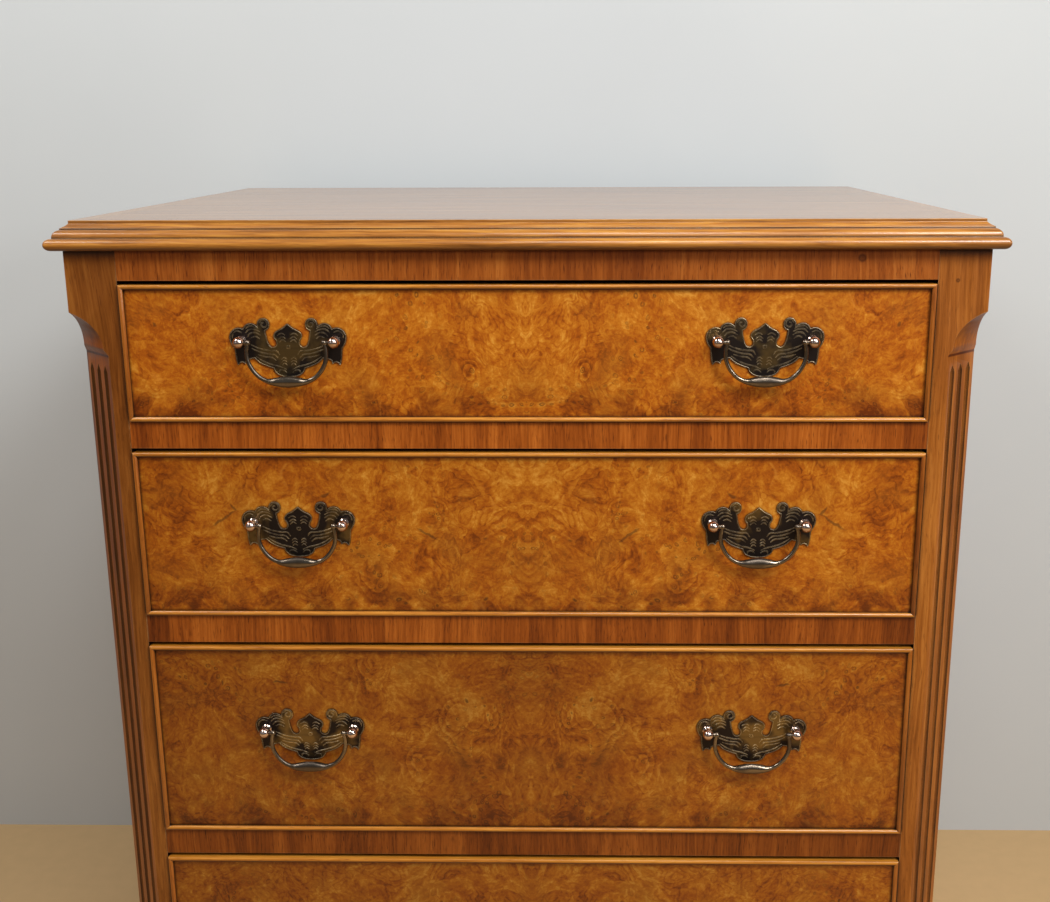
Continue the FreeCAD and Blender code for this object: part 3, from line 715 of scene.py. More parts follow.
# pips, ring-shaped or dots, that stand in clusters
cluster = between(burr, noise(burr, drift, 17.0, 3.0), 0.52, 0.66)
cluster = calc(burr, "MAXIMUM", cluster, between(burr, given["Rise"], 0.04, 0.16))
cluster = calc(burr, "MAXIMUM", cluster, given["Crowd"])
eyes = put(burr, "TexVoronoi", {"Vector": crinkle, "Scale": 210.0})
out = eyes.outputs["Distance"]
pip = calc(burr, "SUBTRACT", between(burr, out, 0.38, 0.30), between(burr, out, 0.24, 0.16))
pip = calc(burr, "MAXIMUM", pip, between(burr, out, 0.14, 0.06))
pip = times(burr, pip, between(burr, specks, 0.38, 0.50))
kept = axes(burr, eyes.outputs["Color"])[0]
pip = times(burr, pip, between(burr, kept, 0.35, 0.60))
# lips of crimped grain
lips = calc(burr, "FRACT", times(burr, noise(burr, crinkle, 62.0, 1.0, 0.4), 9.0))
lips = times(burr, calc(burr, "POWER", lips, 3.0), between(burr, lips, 1.0, 0.90))
lips = times(burr, lips, between(burr, tuft[2], 0.30, 0.75))
# the tone of all of these together, and of small flakes that catch the light
tone = times(burr, noise(burr, curl, 30.0, 3.0, 0.45), 0.30)
for part, share in ((combed, 0.27), (specks, 0.33), (ring, -0.100), (cluster, -0.034),
                    (tuft[1], 0.046), (lips, -0.120)):
    tone = calc(burr, "MULTIPLY_ADD", part, share, tone)
for scale, share in ((95.0, 0.054), (210.0, 0.054)):
    flake = put(burr, "TexVoronoi", {"Vector": crinkle, "Scale": scale})
    flake = axes(burr, flake.outputs["Color"])[0]
    tone = calc(burr, "MULTIPLY_ADD", flake, share, tone)
# pale veins, broken by the fibre
vein = gap(burr, noise(burr, curl, 21.0, 1.0), 0.47)
vein = times(burr, between(burr, vein, 0.010, 0.002), between(burr, combed, 0.45, 0.60))
burr.links.new(tone, result["Tone"])
burr.links.new(times(burr, pip, cluster), result["Pips"])
burr.links.new(vein, result["Vein"])
burr.links.new(cluster, result["Cluster"])


def lifted_rings(tree, leaf, eyes):
    """How far the rings are lifted round each eye of the leaf."""
    rise = 0.0
    for out, up, radius, lift in eyes:
        near = calc3(tree, "MULTIPLY", calc3(tree, "SUBTRACT", leaf, (out, up, 0)),
                     (1.0, 0.62, 1.0))
        away = put(tree, "VectorMath", {0: near}, operation="LENGTH").outputs["Value"]
        share = calc(tree, "POWER", calc(tree, "DIVIDE", away, radius), 2.0)
        hill = calc(tree, "EXPONENT", times(tree, share, -1.0))
        rise = calc(tree, "MULTIPLY_ADD", hill, lift, rise)
    return rise


def crowding(tree, leaf, bent, foot, smoke):
    """How thickly pips stand: along the foot of the front and in its smoky places."""
    crowd = times(tree, calc(tree, "MINIMUM", times(tree, foot, 2.0), 1.0),
                  between(tree, noise(tree, leaf, 38.0), 0.44, 0.56))
    for out, up, radius, share in smoke:
        away = distance(tree, bent, (out, up, 0))
        crowd = calc(tree, "MAXIMUM", crowd, between(tree, away, radius, radius / 3, 0.0, share))
    return crowd


def bark_flaws(tree, place, leaf, colour, flaws):
    """The colour with dark slivers of bark, each at a slope in degrees, so many mm long."""
    for out, up, turn, length in flaws:
        near = put(tree, "VectorRotate", {"Vector": leaf, "Center": (out, up, 0),
                                          "Angle": math.radians(-turn)}, rotation_type="Z_AXIS")
        near = calc3(tree, "SUBTRACT", near.outputs[0], (out, up, 0))
        near = calc3(tree, "MULTIPLY", near, (2000.0 / length, 900.0, 0.0))
        near = put(tree, "VectorMath", {0: near}, operation="LENGTH").outputs["Value"]
        near = calc(tree, "ADD", near, noise(tree, place, 400.0, 3.0))
        colour = blend(tree, between(tree, near, 1.75, 1.10, 0.0, 0.6), colour,
                       (0.060, 0.022, 0.005))
    return colour


def burr_walnut(number, middle, half_height, seed, painted_light_level, painted_side_light, eyes, flaws, smoke):
    """Burr veneer of one drawer front, with its own eyes and flaws out from the middle line."""
    material, tree, shader = shader_of("burr_walnut_%d" % number, Coat_Weight=0.25,
                                       Coat_Roughness=0.22, Specular_IOR_Level=0.2)
    place = put(tree, "TexCoord").outputs["Object"]
    parts = axes(tree, place)
    height = calc(tree, "SUBTRACT", parts["Z"], middle)
    out = calc(tree, "ABSOLUTE", parts["X"])
    leaf = put(tree, "CombineXYZ", {0: out, 1: height}).outputs[0]
    # the two leaves were never laid quite alike
    stray = put(tree, "TexNoise", {"Vector": place, "Scale": 18.0}).outputs["Color"]
    leaf = calc3(tree, "MULTIPLY_ADD", stray, (0.008, 0.008, 0.0), leaf)
    leaf = calc3(tree, "SUBTRACT", leaf, (0.004, 0.004, 0.0))
    bent = warped(tree, leaf, 90.0, 0.006)
    foot = between(tree, height, -half_height + 0.030, -half_height)
    crowd = crowding(tree, leaf, bent, foot, smoke)
    figure = use(tree, burr, {"Vector": leaf, "Seed": seed, "Crowd": crowd,
                              "Rise": lifted_rings(tree, bent, eyes)})
    tone = calc(tree, "MULTIPLY_ADD", times(tree, foot, figure["Cluster"]), -0.05, figure["Tone"])
    tone = calc(tree, "MULTIPLY_ADD", between(tree, out, 0.14, 0.28), -0.030, tone)
    colour = shades(tree, tone, [
        (0.34, (0.165, 0.032, 0.001)), (0.45, (0.325, 0.076, 0.002)),
        (0.515, (0.405, 0.117, 0.004)), (0.575, (0.480, 0.163, 0.009)),
        (0.66, (0.610, 0.265, 0.032))])
    smoky = between(tree, noise(tree, leaf, 26.0, 3.0), 0.50, 0.72, 0.0, 0.30)
    colour = blend(tree, smoky, colour, (0.270, 0.105, 0.010))
    colour = blend(tree, times(tree, figure["Vein"], 0.3), colour, (0.60, 0.24, 0.030))
    colour = blend(tree, times(tree, figure["Pips"], 0.7), colour, (0.070, 0.020, 0.003))
    colour = bark_flaws(tree, place, bent, colour, flaws)
    colour = blend(tree, crowd, colour, (0.72, 0.67, 0.64), "MULTIPLY")
    # the whole front painted darker as shade lower down, and paler towards the right as painted
    # light
    colour = blend(tree, 1.0, colour, (painted_light_level, painted_light_level, painted_light_level * 0.97), "MULTIPLY")
    painted_side_lighting = between(tree, parts["X"], -0.275, 0.275, 1.0 - painted_side_light, 1.0 + painted_side_light)
    colour = put(tree, "VectorMath", {0: colour, "Scale": painted_side_lighting}, operation="SCALE").outputs[0]
    # all but the face is the softwood under the veneer
    core = use(tree, long_grain, {"Vector": place, "Seed": seed})
    core = shades(tree, core["Bands"],
                  [(0.35, (0.200, 0.072, 0.020)), (0.65, (0.310, 0.130, 0.045))])
    colour = blend(tree, between(tree, facing_of(tree)["Y"], -0.6, -0.4), colour, core)
    # dirt and painted shade in the corners along the beads
    grime_and_shade = use(tree, crevice_dirt_and_shade, {"Vector": place, "Reach": 0.0026})["Dirt"]
    colour = blend(tree, grime_and_shade, colour, dirt_and_shade_colour)
    rough = between(tree, figure["Tone"], 0.3, 0.7, 0.36, 0.50)
    surfaced(tree, shader, colour, rough, figure["Tone"], 0.10, 0.0010)
    return material


# Each front from the top: how bright it is painted, the lower fronts darker as shade, how much
# paler on the right as painted light, and what stands out in it, as out and up from its middle.
# Eyes have a radius and a lift, flaws a slope and a length in mm, and smoky places, crowded with
# pips, a radius and a share.
fronts = (
    {"seed": 2.30, "painted_light_level": 0.99, "painted_side_light": 0.01,
     "eyes": ((0.0385, -0.0105, 0.0060, 0.24), (0.100, 0.012, 0.020, -0.10)),
     "flaws": ((0.104, -0.034, 20, 2.5), (0.252, 0.020, 60, 4)),
     "smoke": ()},
    {"seed": 5.20, "painted_light_level": 0.88, "painted_side_light": 0.09,
     "eyes": ((0.000, -0.008, 0.020, 0.15), (0.066, 0.016, 0.010, 0.16),
              (0.110, -0.034, 0.012, 0.18)),
     "flaws": ((0.213, 0.012, -28, 20), (0.0715, 0.0005, 30, 17), (0.143, 0.030, 150, 8),
               (0.205, 0.020, 50, 8)),
     "smoke": ((0.012, -0.045, 0.050, 0.30),)},
    {"seed": 12.7, "painted_light_level": 0.665, "painted_side_light": 0.15,
     "eyes": ((0.056, 0.017, 0.012, 0.22), (0.027, 0.015, 0.008, 0.18),
              (0.022, -0.017, 0.008, 0.18), (0.049, -0.008, 0.009, 0.16),
              (0.084, -0.018, 0.009, 0.18), (0.120, 0.045, 0.012, 0.18)),
     "flaws": ((0.183, 0.044, 8, 12),),
     "smoke": ((0.000, 0.055, 0.050, 0.55), (0.060, 0.030, 0.035, 0.35),
               (0.030, -0.055, 0.055, 0.35))},
    {"seed": 19.4, "painted_light_level": 0.64, "painted_side_light": 0.15,
     "eyes": ((0.040, 0.020, 0.012, 0.20), (0.110, -0.030, 0.014, 0.20)),
     "flaws": ((0.075, 0.010, 40, 9),),
     "smoke": ()},
)
drawers = ["drawer_%d" % number for number in range(1, 5)]
for number, (drawer, front) in enumerate(zip(drawers, fronts), 1):
    low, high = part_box(drawer + "_front")
    veneer = burr_walnut(number, (low.z + high.z) / 2, (high.z - low.z) / 2, **front)
    finish_node([drawer + "_front"], veneer)


# ------------------------------------------------------------------ drawers: beads and boxes
# A cock bead of solid walnut is let in round each front and mitred at its corners. The rest
# of the drawer is plain pale timber, dovetailed together.
bead_tones = ((0.64, 0.275, 0.038), (0.48, 0.175, 0.016), (0.24, 0.066, 0.004))
for number, drawer in enumerate(drawers, 1):
    low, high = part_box(drawer + "_front")
    bead_mitre = ("Z", (0.0, 0.0, (low.z + high.z) / 2), (1.0, 0.0, -1.0),
                  high.x - (high.z - low.z) / 2)
    bead_walnut = walnut("walnut_bead_%d" % number, "X", bead_tones, seed=71.0 + number,
                         mitre=bead_mitre, upright_painted_shade=0.8, scuffs=0.25, dirt_and_shade_reach=0.0028, dirt_and_shade_share=3.5,
                         polish=0.5, surface_marks=[painted_underside_shade(1.0)])
    eased(drawer + "_cock_beads", drawer, bead_walnut)
    finish_node([drawer + "_side_left", drawer + "_side_right"], lining_along)
    finish_node([drawer + "_back", drawer + "_bottom"], lining_across)


# ------------------------------------------------------------------ handles: finish of the brass
# Cast brass, chemically aged and lacquered: blackish olive in the hollows, rubbed brown and
# brassy where fingers reach, pink and bright on the ball heads, and painted dark as shade on faces
# that look down.
def aged_brass(name, worn, aged, black, gloss, patches, hollows=()):
    """Patinated brass from its brightest to its darkest tone.

    Patches say how fine its dark patches are, and between which two levels they fade. Hollows
    are dark parts of a plate: across, up and reach in mm.
    """
    material, tree, shader = shader_of(name, Metallic=1.0)
    place = put(tree, "TexCoord").outputs["Object"]
    size, first, last = patches
    cloud = noise(tree, place, size, 3.0, 0.5)
    # dark patina patches, and faces that look down painted dark as shade
    dark = calc(tree, "MAXIMUM", between(tree, cloud, first, last),
                between(tree, facing_of(tree)["Z"], 0.05, -0.55))
    if hollows:
        spot = put(tree, "UVMap", uv_map="on_handle").outputs["UV"]
        for across, up, reach in hollows:
            away = calc(tree, "ADD", distance(tree, spot, (across, up, 0)),
                        times(tree, cloud, 6.0))
            dark = calc(tree, "MAXIMUM", dark, between(tree, away, reach + 5.5, reach))
    colour = blend(tree, dark, aged, black)
    edge = use(tree, edge_wear, {"Vector": place, "Radius": 0.0004, "Patchiness": 300.0})["Wear"]
    colour = blend(tree, times(tree, edge, 0.9), colour, worn)
    # dirt and painted shade in the corners
    grime_and_shade = use(tree, crevice_dirt_and_shade, {"Vector": place, "Reach": 0.0015})["Dirt"]
    colour = blend(tree, times(tree, grime_and_shade, 0.85), colour, (0.012, 0.010, 0.008))
    rough = between(tree, dark, 0.0, 1.0, gloss, gloss + 0.16)
    surfaced(tree, shader, colour, rough, noise(tree, place, 900.0, 3.0), 0.15, 0.0001)
    return material


plate_hollows = ((13.0, -2.0, 3.5), (20.0, 2.5, 2.0), (5.0, -5.0, 1.0), (31.0, -9.0, 1.5))
plate_brass = aged_brass("brass_plate", (0.50, 0.38, 0.20), (0.22, 0.150, 0.062),
                         (0.032, 0.025, 0.023), 0.32, (42.0, 0.63, 0.50), plate_hollows)
ridge_brass = aged_brass("brass_ridge", (0.72, 0.60, 0.40), (0.38, 0.29, 0.15),
                         (0.11, 0.088, 0.070), 0.26, (42.0, 0.63, 0.50), plate_hollows)
knob_brass = aged_brass("brass_knob", (0.90, 0.74, 0.66), (0.66, 0.50, 0.43),
                        (0.34, 0.23, 0.18), 0.07, (300.0, 0.46, 0.30))
tail_brass = aged_brass("brass_tail", (0.62, 0.50, 0.30), (0.42, 0.32, 0.16),
                        (0.20, 0.14, 0.08), 0.30, (120.0, 0.58, 0.42))
bail_brass = aged_brass("brass_bail", (0.70, 0.60, 0.48), (0.23, 0.185, 0.14),
                        (0.11, 0.088, 0.070), 0.20, (60.0, 0.60, 0.40))


# ------------------------------------------------------------------ handles: backplates
# Pierced and chased plates of sheet-thin cast brass: a peaked crown between two scrolled
# wings, with a forked tail under each outer lobe. Ribs left standing mark the feathers.
mm = 0.001
corner, soft = "VECTOR", "AUTO"
# right half, from the peak round to the foot: across and up from the axis of the bail
plate_edge = (
    (0, 11.6, corner), (3.6, 8.6, soft), (8.6, 5.6, soft), (9.4, 3.2, soft), (7.8, 0.4, corner),
    (7.7, -2.4, soft), (9.4, -4.2, soft), (12.0, -4.0, soft), (13.5, -2.0, soft),
    (15.0, 3.4, soft), (15.6, 7.2, corner), (13.2, 8.8, soft), (12.5, 11.4, soft),
    (13.6, 14.2, soft), (16.3, 15.3, soft), (19.1, 14.2, soft), (20.2, 11.8, soft),
    (20.4, 9.4, corner), (22.8, 11.3, soft), (25.8, 11.8, soft), (28.6, 10.5, soft),
    (30.2, 8.0, corner), (33.0, 8.8, soft), (36.4, 7.9, soft), (39.0, 5.0, soft),
    (39.5, 1.8, soft), (38.4, -2.0, soft), (36.4, -5.0, corner), (35.9, -11.0, soft),
    (35.0, -16.3, corner), (33.4, -14.6, soft), (31.6, -14.3, soft), (29.8, -15.4, corner),
    (29.0, -13.0, soft), (27.2, -12.2, corner),
    (23.4, -11.4, corner), (20.2, -14.4, soft), (15.4, -16.8, soft), (10.6, -18.4, corner),
    (9.4, -21.2, soft), (6.0, -23.6, soft), (0, -24.6, corner),
)
# ribs of the right half
plate_ribs = (
    ((19.0, 12.4), (16.6, 14.6), (13.6, 12.6), (14.6, 9.8), (17.0, 10.0), (17.3, 12.2),
     (15.8, 12.6)),
    ((19.8, 8.4), (22.6, 9.9), (26.0, 10.2), (28.4, 8.6)),
    ((18.8, 6.4), (22.4, 8.0), (26.0, 7.9), (28.6, 5.8)),
    ((18.6, 4.0), (22.0, 5.8), (25.4, 5.2), (27.4, 3.2)),
    ((19.2, 1.6), (22.2, 3.2), (25.0, 2.2)),
    ((31.4, 6.0), (34.6, 6.9), (37.2, 5.0), (37.9, 2.0)),
    ((6.0, -9.6), (8.0, -7.0), (12.4, -6.6), (20.0, -5.0), (25.6, -2.4)),
    ((7.4, -11.6), (9.8, -9.4), (14.4, -8.8), (20.4, -7.2), (25.0, -5.0)),
    ((8.8, -13.4), (11.4, -11.4), (16.0, -10.8), (21.0, -9.4)),
    ((2.2, -19.4), (6.4, -17.6), (12.0, -16.2), (17.4, -14.0), (22.4, -10.6)),
    ((1.4, 1.6), (3.8, 2.8), (6.2, 1.2)),
    ((1.6, -0.4), (3.8, 0.8), (5.8, -0.8)),
    ((1.8, 4.2), (4.2, 5.2), (7.0, 3.8)),
    ((0, -3.0), (0.9, -3.4), (1.1, -4.1), (0.9, -4.8), (0, -5.2)),
    ((1.4, -12.4), (3.4, -11.4), (5.2, -12.8)),
    ((1.4, -14.4), (3.4, -13.4), (5.2, -14.8)),
    ((1.4, -16.4), (3.2, -15.4), (4.8, -16.6)),
    ((2.0, -21.6), (4.2, -20.0), (7.0, -20.6), (7.2, -22.0)),
)


def drawn(points, kinds=None, closed=False, **settings):
    """Bezier curve in millimetres through points across and up, soft where no kind is given."""
    curve = bpy.data.curves.new("drawn", "CURVE")
    spline = curve.splines.new("BEZIER")
    spline.bezier_points.add(len(points) - 1)
    for bead, (across, up), kind in zip(spline.bezier_points, points,
                                        kinds or [soft] * len(points)):
        bead.co = (across, up, 0)
        bead.handle_left_type = kind
        bead.handle_right_type = kind
    spline.use_cyclic_u = closed
    spline.resolution_u = 5
    for name, value in settings.items():
        setattr(curve, name, value)
    return curve


def curve_mesh(curve):
    """The mesh of a curve in metres, stood up to face the front; the curve is dropped."""
    holder = bpy.data.objects.new("holder", curve)
    mesh = bpy.data.meshes.new_from_object(holder)
    mesh.transform(Matrix.Rotation(math.pi / 2, 4, "X") @ Matrix.Scale(mm, 4))
    bpy.data.objects.remove(holder)
    bpy.data.curves.remove(curve)
    return mesh


def add_mesh(target, mesh, matrix, slot=None, smooth=True):
    """Adds a copy of a mesh, moved; its faces may all be given one material slot."""
    placed = mesh.copy()
    placed.transform(matrix)
    if matrix.is_negative:
        placed.flip_normals()
    if slot is not None:
        for face in placed.polygons:
            face.material_index = slot
            face.use_smooth = smooth
    target.from_mesh(placed)


mirror_x = Matrix.Scale(-1, 4, (1, 0, 0))
outline = [(x, z) for x, z, _ in plate_edge] + [(-x, z) for x, z, _ in plate_edge[-2:0:-1]]
kinds = [kind for _, _, kind in plate_edge] + [kind for _, _, kind in plate_edge[-2:0:-1]]
sheet = drawn(outline, kinds, True, dimensions="2D", fill_mode="BOTH", extrude=0.5)
plate_shape = bmesh.new()
add_mesh(plate_shape, curve_mesh(sheet), Matrix.Translation((0, -0.55 * mm, 0)), 0, False)
weld(plate_shape)
simplify(plate_shape)
rim = drawn(outline, kinds, True, dimensions="3D", bevel_depth=0.34, bevel_resolution=2)
add_mesh(plate_shape, curve_mesh(rim), Matrix.Translation((0, -0.98 * mm, 0)), 1)
raised = Matrix.Translation((0, -0.95 * mm, 0))
for rib in plate_ribs:
    line = drawn(rib, dimensions="3D", bevel_depth=0.5, bevel_resolution=1, use_fill_caps=True)
    for end in (0, -1):
        line.splines[0].bezier_points[end].radius = 0.45
    line_mesh = curve_mesh(line)
    add_mesh(plate_shape, line_mesh, raised, 1)
    add_mesh(plate_shape, line_mesh, raised @ mirror_x, 1)


def mark_places(shape):
    """Keeps where each point lies on the handle, in millimetres, for the patina."""
    spot = shape.loops.layers.uv.new("on_handle")
    for face in shape.faces:
        for loop in face.loops:
            loop[spot].uv = (abs(loop.vert.co.x) / mm, loop.vert.co.z / mm)


mark_places(plate_shape)
plate_mesh = mesh_of(plate_shape, "plate")


def fitted(name, body, node, mesh, places, materials, turn=Matrix.Identity(4)):
    """Copies of a mesh at several places as one piece, which may stand for a frame node."""
    shape = bmesh.new()
    for place in places:
        add_mesh(shape, mesh, Matrix.Translation(place) @ turn)
    made = mesh_of(shape, name)
    made.set_sharp_from_angle(angle=math.radians(40))
    for material in materials:
        made.materials.append(material)
    piece = in_scene(name, made)
    if node:
        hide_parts(node)
    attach(piece, body)


# the two handles of a drawer hang this far from its middle line
handle_out = 161.5 * mm
handle_rise = 9.0 * mm
front_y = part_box("drawer_1_front")[0].y
handle_places = {}
for drawer in drawers:
    low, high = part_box(drawer + "_front")
    axis_height = (low.z + high.z) / 2 + handle_rise
    handle_places[drawer] = [Vector((out, front_y, axis_height))
                             for out in (-handle_out, handle_out)]
    fitted(drawer + "_plates_chased", drawer, drawer + "_handle_plates", plate_mesh,
           handle_places[drawer], [plate_brass, ridge_brass])


# ------------------------------------------------------------------ handles: posts
# Turned brass posts with a collar and a ball head, cross-drilled for the bail. Each goes
# through the drawer front on a threaded tail with a square nut inside.
knob_radius = 3.95 * mm
knob_stand = 8.0 * mm
knob_half_spacing = 32.0 * mm
pivot_radius = 1.5 * mm
pivot_play = 0.08 * mm
front_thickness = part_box("drawer_1_front")[1].y - front_y


def turned(shape, profile, steps):
    """Revolves a profile, given as (out from the front, radius), round the front-to-back axis."""
    points = [shape.verts.new((radius, -out, 0)) for out, radius in profile]
    edges = [shape.edges.new(pair) for pair in zip(points, points[1:])]
    bmesh.ops.spin(shape, geom=points + edges, cent=(0, 0, 0), axis=(0, 1, 0),
                   angle=2 * math.pi, steps=steps, use_merge=True)


post_shape = bmesh.new()
post_profile = [(1.1 * mm, 0), (1.1 * mm, 3.5 * mm), (1.5 * mm, 3.8 * mm), (2.0 * mm, 3.6 * mm),
                (2.4 * mm, 2.9 * mm), (3.1 * mm, 2.5 * mm), (4.0 * mm, 2.4 * mm)]
for turn in range(40, 181, 10):
    angle = math.radians(turn)
    post_profile.append((knob_stand - knob_radius * math.cos(angle),
                         knob_radius * math.sin(angle)))
turned(post_shape, post_profile, 32)
weld(post_shape)
face_out(post_shape)
head_mesh = mesh_of(post_shape, "head")
head_mesh.shade_smooth()


def carved(mesh, tool):
    """What is left of a mesh when another is cut from it."""
    bodies = [in_scene("work", mesh.copy()), in_scene("tool", tool)]
    cut = bodies[0].modifiers.new("cut", "BOOLEAN")
    cut.object = bodies[1]
    cut.operation = "DIFFERENCE"
    bpy.context.view_layer.update()
    seen = bodies[0].evaluated_get(bpy.context.evaluated_depsgraph_get())
    done = bpy.data.meshes.new_from_object(seen)
    for body in bodies:
        bpy.data.objects.remove(body)
    return done


def rod(shape, radius, length, middle, axis, segments):
    """Adds a rod that lies along X or Y."""
    turn = Matrix.Rotation(math.pi / 2, 4, {"X": "Y", "Y": "X"}[axis])
    bmesh.ops.create_cone(shape, cap_ends=True, segments=segments, radius1=radius,
                          radius2=radius, depth=length,
                          matrix=Matrix.Translation(middle) @ turn)


def drilled(mesh, side):
    """The turned head with its cross hole open towards the middle of the handle."""
    bit_shape = bmesh.new()
    middle = (-side * (knob_radius - 0.4 * mm), -knob_stand, 0)
    rod(bit_shape, pivot_radius + pivot_play, 2 * knob_radius, middle, "X", 24)
    return carved(mesh, mesh_of(bit_shape, "bit"))


tail_shape = bmesh.new()
tail_end = front_thickness + 7.0 * mm
turned(tail_shape, [(1.2 * mm, 0), (1.2 * mm, 2.0 * mm), (-tail_end + 8 * mm, 2.0 * mm),
                    (-tail_end + 8 * mm, 1.75 * mm), (-tail_end, 1.75 * mm), (-tail_end, 0)], 16)
face_out(tail_shape)
thread_depth = 0.25 * mm
thread_pitch = 0.7 * mm
thread = [tail_shape.verts.new((radius, tail_end - 7.8 * mm + step, 0))
          for radius, step in ((1.7 * mm, 0), (1.7 * mm + thread_depth, thread_pitch * 0.3),
                               (1.7 * mm, thread_pitch * 0.6))]
ridge = [tail_shape.edges.new(pair) for pair in zip(thread, thread[1:])]
thread_turns = 10
bmesh.ops.spin(tail_shape, geom=thread + ridge, cent=(0, 0, 0), axis=(0, 1, 0),
               dvec=(0, thread_pitch / 12, 0), angle=2 * math.pi * thread_turns,
               steps=12 * thread_turns)
nut_matrix = (Matrix.Translation((0, front_thickness + 2.0 * mm, 0))
              @ Matrix.Rotation(math.radians(12), 4, "Y")
              @ Matrix.Diagonal((8 * mm, 3 * mm, 8 * mm, 1)))
nut = bmesh.ops.create_cube(tail_shape, size=1.0, matrix=nut_matrix)["verts"]
nut_edges = list({edge for vert in nut for edge in vert.link_edges})
bmesh.ops.bevel(tail_shape, geom=nut_edges, offset=0.4 * mm, offset_type="OFFSET", segments=2,
                profile=0.5, affect="EDGES", material=-1)
washer = 0.8 * mm
rod(tail_shape, 6 * mm, washer, (0, front_thickness + washer / 2, 0), "Y", 24)
tail_mesh = mesh_of(tail_shape, "tail")

pair_shape = bmesh.new()
for side in (-1, 1):
    spot = Matrix.Translation((side * knob_half_spacing, 0, 0))
    add_mesh(pair_shape, drilled(head_mesh, side), spot, 0)
    add_mesh(pair_shape, tail_mesh, spot, 1)
pair_mesh = mesh_of(pair_shape, "pair_of_posts")
for drawer, places in handle_places.items():
    fitted(drawer + "_posts_turned", drawer, drawer + "_handle_posts", pair_mesh, places,
           [knob_brass, tail_brass])


# ------------------------------------------------------------------ handles: bails
# Swan-neck bails of cast brass: a round wire that swells to a flattened grip, with a pin
# turned in at each end to pivot in the ball heads.
bail_path = (  # across from the middle, up from the pivot axis, half thickness in the plane
    (-3.0, -26.9, 3.9), (0, -26.9, 4.0), (4.0, -26.9, 3.8), (8.0, -26.9, 3.1),
    (11.6, -26.8, 2.2), (14.4, -26.1, 1.65), (17.8, -24.5, 1.5), (21.4, -21.4, 1.5),
    (24.5, -17.0, 1.5), (26.5, -12.0, 1.5), (26.9, -6.0, 1.45), (26.35, -1.6, 1.45),
    (26.3, 0.8, 1.4),
)
bail_line = drawn([(x, z) for x, z, _ in bail_path], dimensions="3D", bevel_depth=1.0,
                  bevel_resolution=4, use_fill_caps=True)
for bead, (_, _, half) in zip(bail_line.splines[0].bezier_points, bail_path):
    bead.radius = half
grip_flatness = 0.62
grip_reach = 12.0 * mm
bail_shape = bmesh.new()
bail_shape.from_mesh(curve_mesh(bail_line))
for vert in bail_shape.verts:
    share = max(0.0, 1.0 - abs(vert.co.x) / grip_reach)
    vert.co.y *= 1.0 - (1.0 - grip_flatness) * math.sin(share * math.pi / 2) ** 2
bmesh.ops.bisect_plane(bail_shape, geom=whole(bail_shape), plane_co=(0, 0, 0),
                       plane_no=(-1, 0, 0), clear_outer=True)
pin_end = knob_half_spacing - 0.6 * mm
pin_start = 26.2 * mm
rod(bail_shape, pivot_radius, pin_end - pin_start, ((pin_end + pin_start) / 2, 0, 0), "X", 20)
bmesh.ops.create_uvsphere(bail_shape, u_segments=16, v_segments=10, radius=2.0 * mm,
                          matrix=Matrix.Translation((25.8 * mm, 0, 0)))
bmesh.ops.mirror(bail_shape, geom=whole(bail_shape), axis="X", merge_dist=0.01 * mm)
face_out(bail_shape)
for face in bail_shape.faces:
    face.smooth = True
mark_places(bail_shape)
bail_mesh = mesh_of(bail_shape, "bail")
for number, drawer in enumerate(drawers, 1):
    for side, place in zip(("left", "right"), handle_places[drawer]):
        bail = "bail_%d_%s" % (number, side)
        fitted(bail + "_cast", bail, "%s_bail_%s" % (drawer, side), bail_mesh,
               [place + Vector((0, -knob_stand, 0))], [bail_brass])


# ------------------------------------------------------------------ small fasteners
# Domed panel pins round the plywood back and under each drawer bottom, and slotted screws
# that hold the base frame to the carcass from below.
def round_mesh(name, profile, steps):
    """A small turned piece as a mesh, standing on the front."""
    shape = bmesh.new()
    turned(shape, [(out * mm, radius * mm) for out, radius in profile], steps)
    weld(shape)
    face_out(shape)
    mesh = mesh_of(shape, name)
    mesh.shade_smooth()
    return mesh


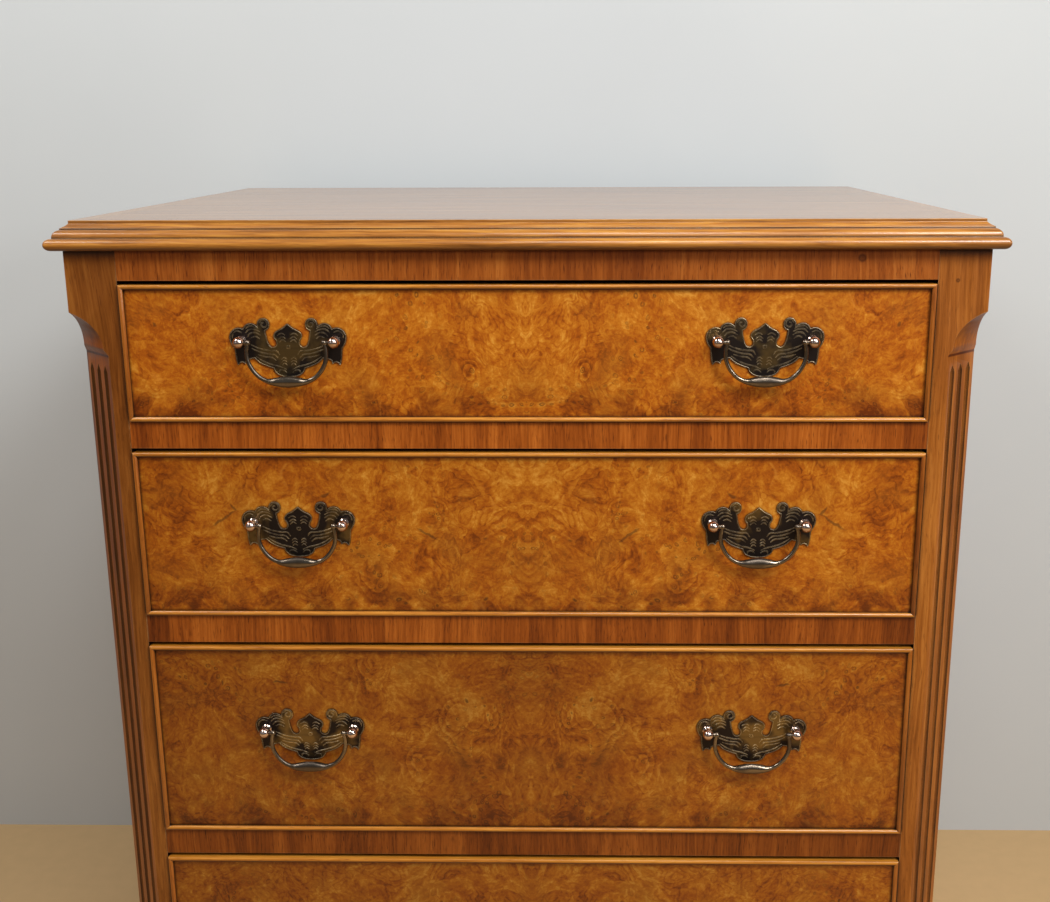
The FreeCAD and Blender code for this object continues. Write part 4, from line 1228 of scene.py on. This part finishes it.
pin_steel = aged_brass("steel_pin", (0.55, 0.53, 0.50), (0.28, 0.26, 0.24),
                       (0.10, 0.075, 0.055), 0.35, (400.0, 0.60, 0.40))
pin_mesh = round_mesh("pin", ((-0.5, 0), (-0.5, 0.8), (0, 0.8), (0, 1.7), (0.25, 1.6),
                              (0.5, 1.1), (0.62, 0)), 12)
low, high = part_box("back_panel")
inset = 5.5 * mm
pin_places = []
for step in range(9):
    height = low.z + inset + (high.z - low.z - 2 * inset) * step / 8
    pin_places += [Vector((across, high.y, height)) for across in (low.x + inset, high.x - inset)]
for step in range(1, 8):
    across = low.x + inset + (high.x - low.x - 2 * inset) * step / 8
    pin_places += [Vector((across, high.y, height)) for height in (low.z + inset, high.z - inset)]
fitted("back_pins", "carcass", None, pin_mesh, pin_places, [pin_steel],
       Matrix.Rotation(math.pi, 4, "Z"))
pin_spacing = 110 * mm
for drawer in drawers:
    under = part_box(drawer + "_bottom")[0].z
    low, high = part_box(drawer + "_back")
    fitted(drawer + "_pins", drawer, None, pin_mesh,
           [Vector((out * pin_spacing, (low.y + high.y) / 2, under)) for out in range(-2, 3)],
           [pin_steel], Matrix.Rotation(math.pi / 2, 4, "X"))

slot_shape = bmesh.new()
bmesh.ops.create_cube(slot_shape, size=1.0,
                      matrix=Matrix.Translation((0, -0.3 * mm, 0))
                      @ Matrix.Diagonal((10 * mm, 1.4 * mm, 1.0 * mm, 1)))
screw_mesh = carved(round_mesh("screw", ((-2.2, 0), (-2.2, 1.8), (0.15, 4.1), (0.3, 3.9),
                                         (0.3, 0)), 24), mesh_of(slot_shape, "slot"))
low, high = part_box("base_frame")
# how far each screw stands in from the frame's edge, and out from its middle
screw_inset, screw_out, side_screw_out = 22.5 * mm, 90 * mm, 45 * mm
screw_places = []
for side in (-1, 1):
    screw_places += [Vector((side * screw_out, low.y + screw_inset, low.z)),
                     Vector((side * screw_out, high.y - screw_inset, low.z)),
                     Vector((side * (high.x - screw_inset), side * side_screw_out, low.z))]
fitted("base_screws", "carcass", None, screw_mesh, screw_places, [tail_brass],
       Matrix.Rotation(math.pi / 2, 4, "X"))


low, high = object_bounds()
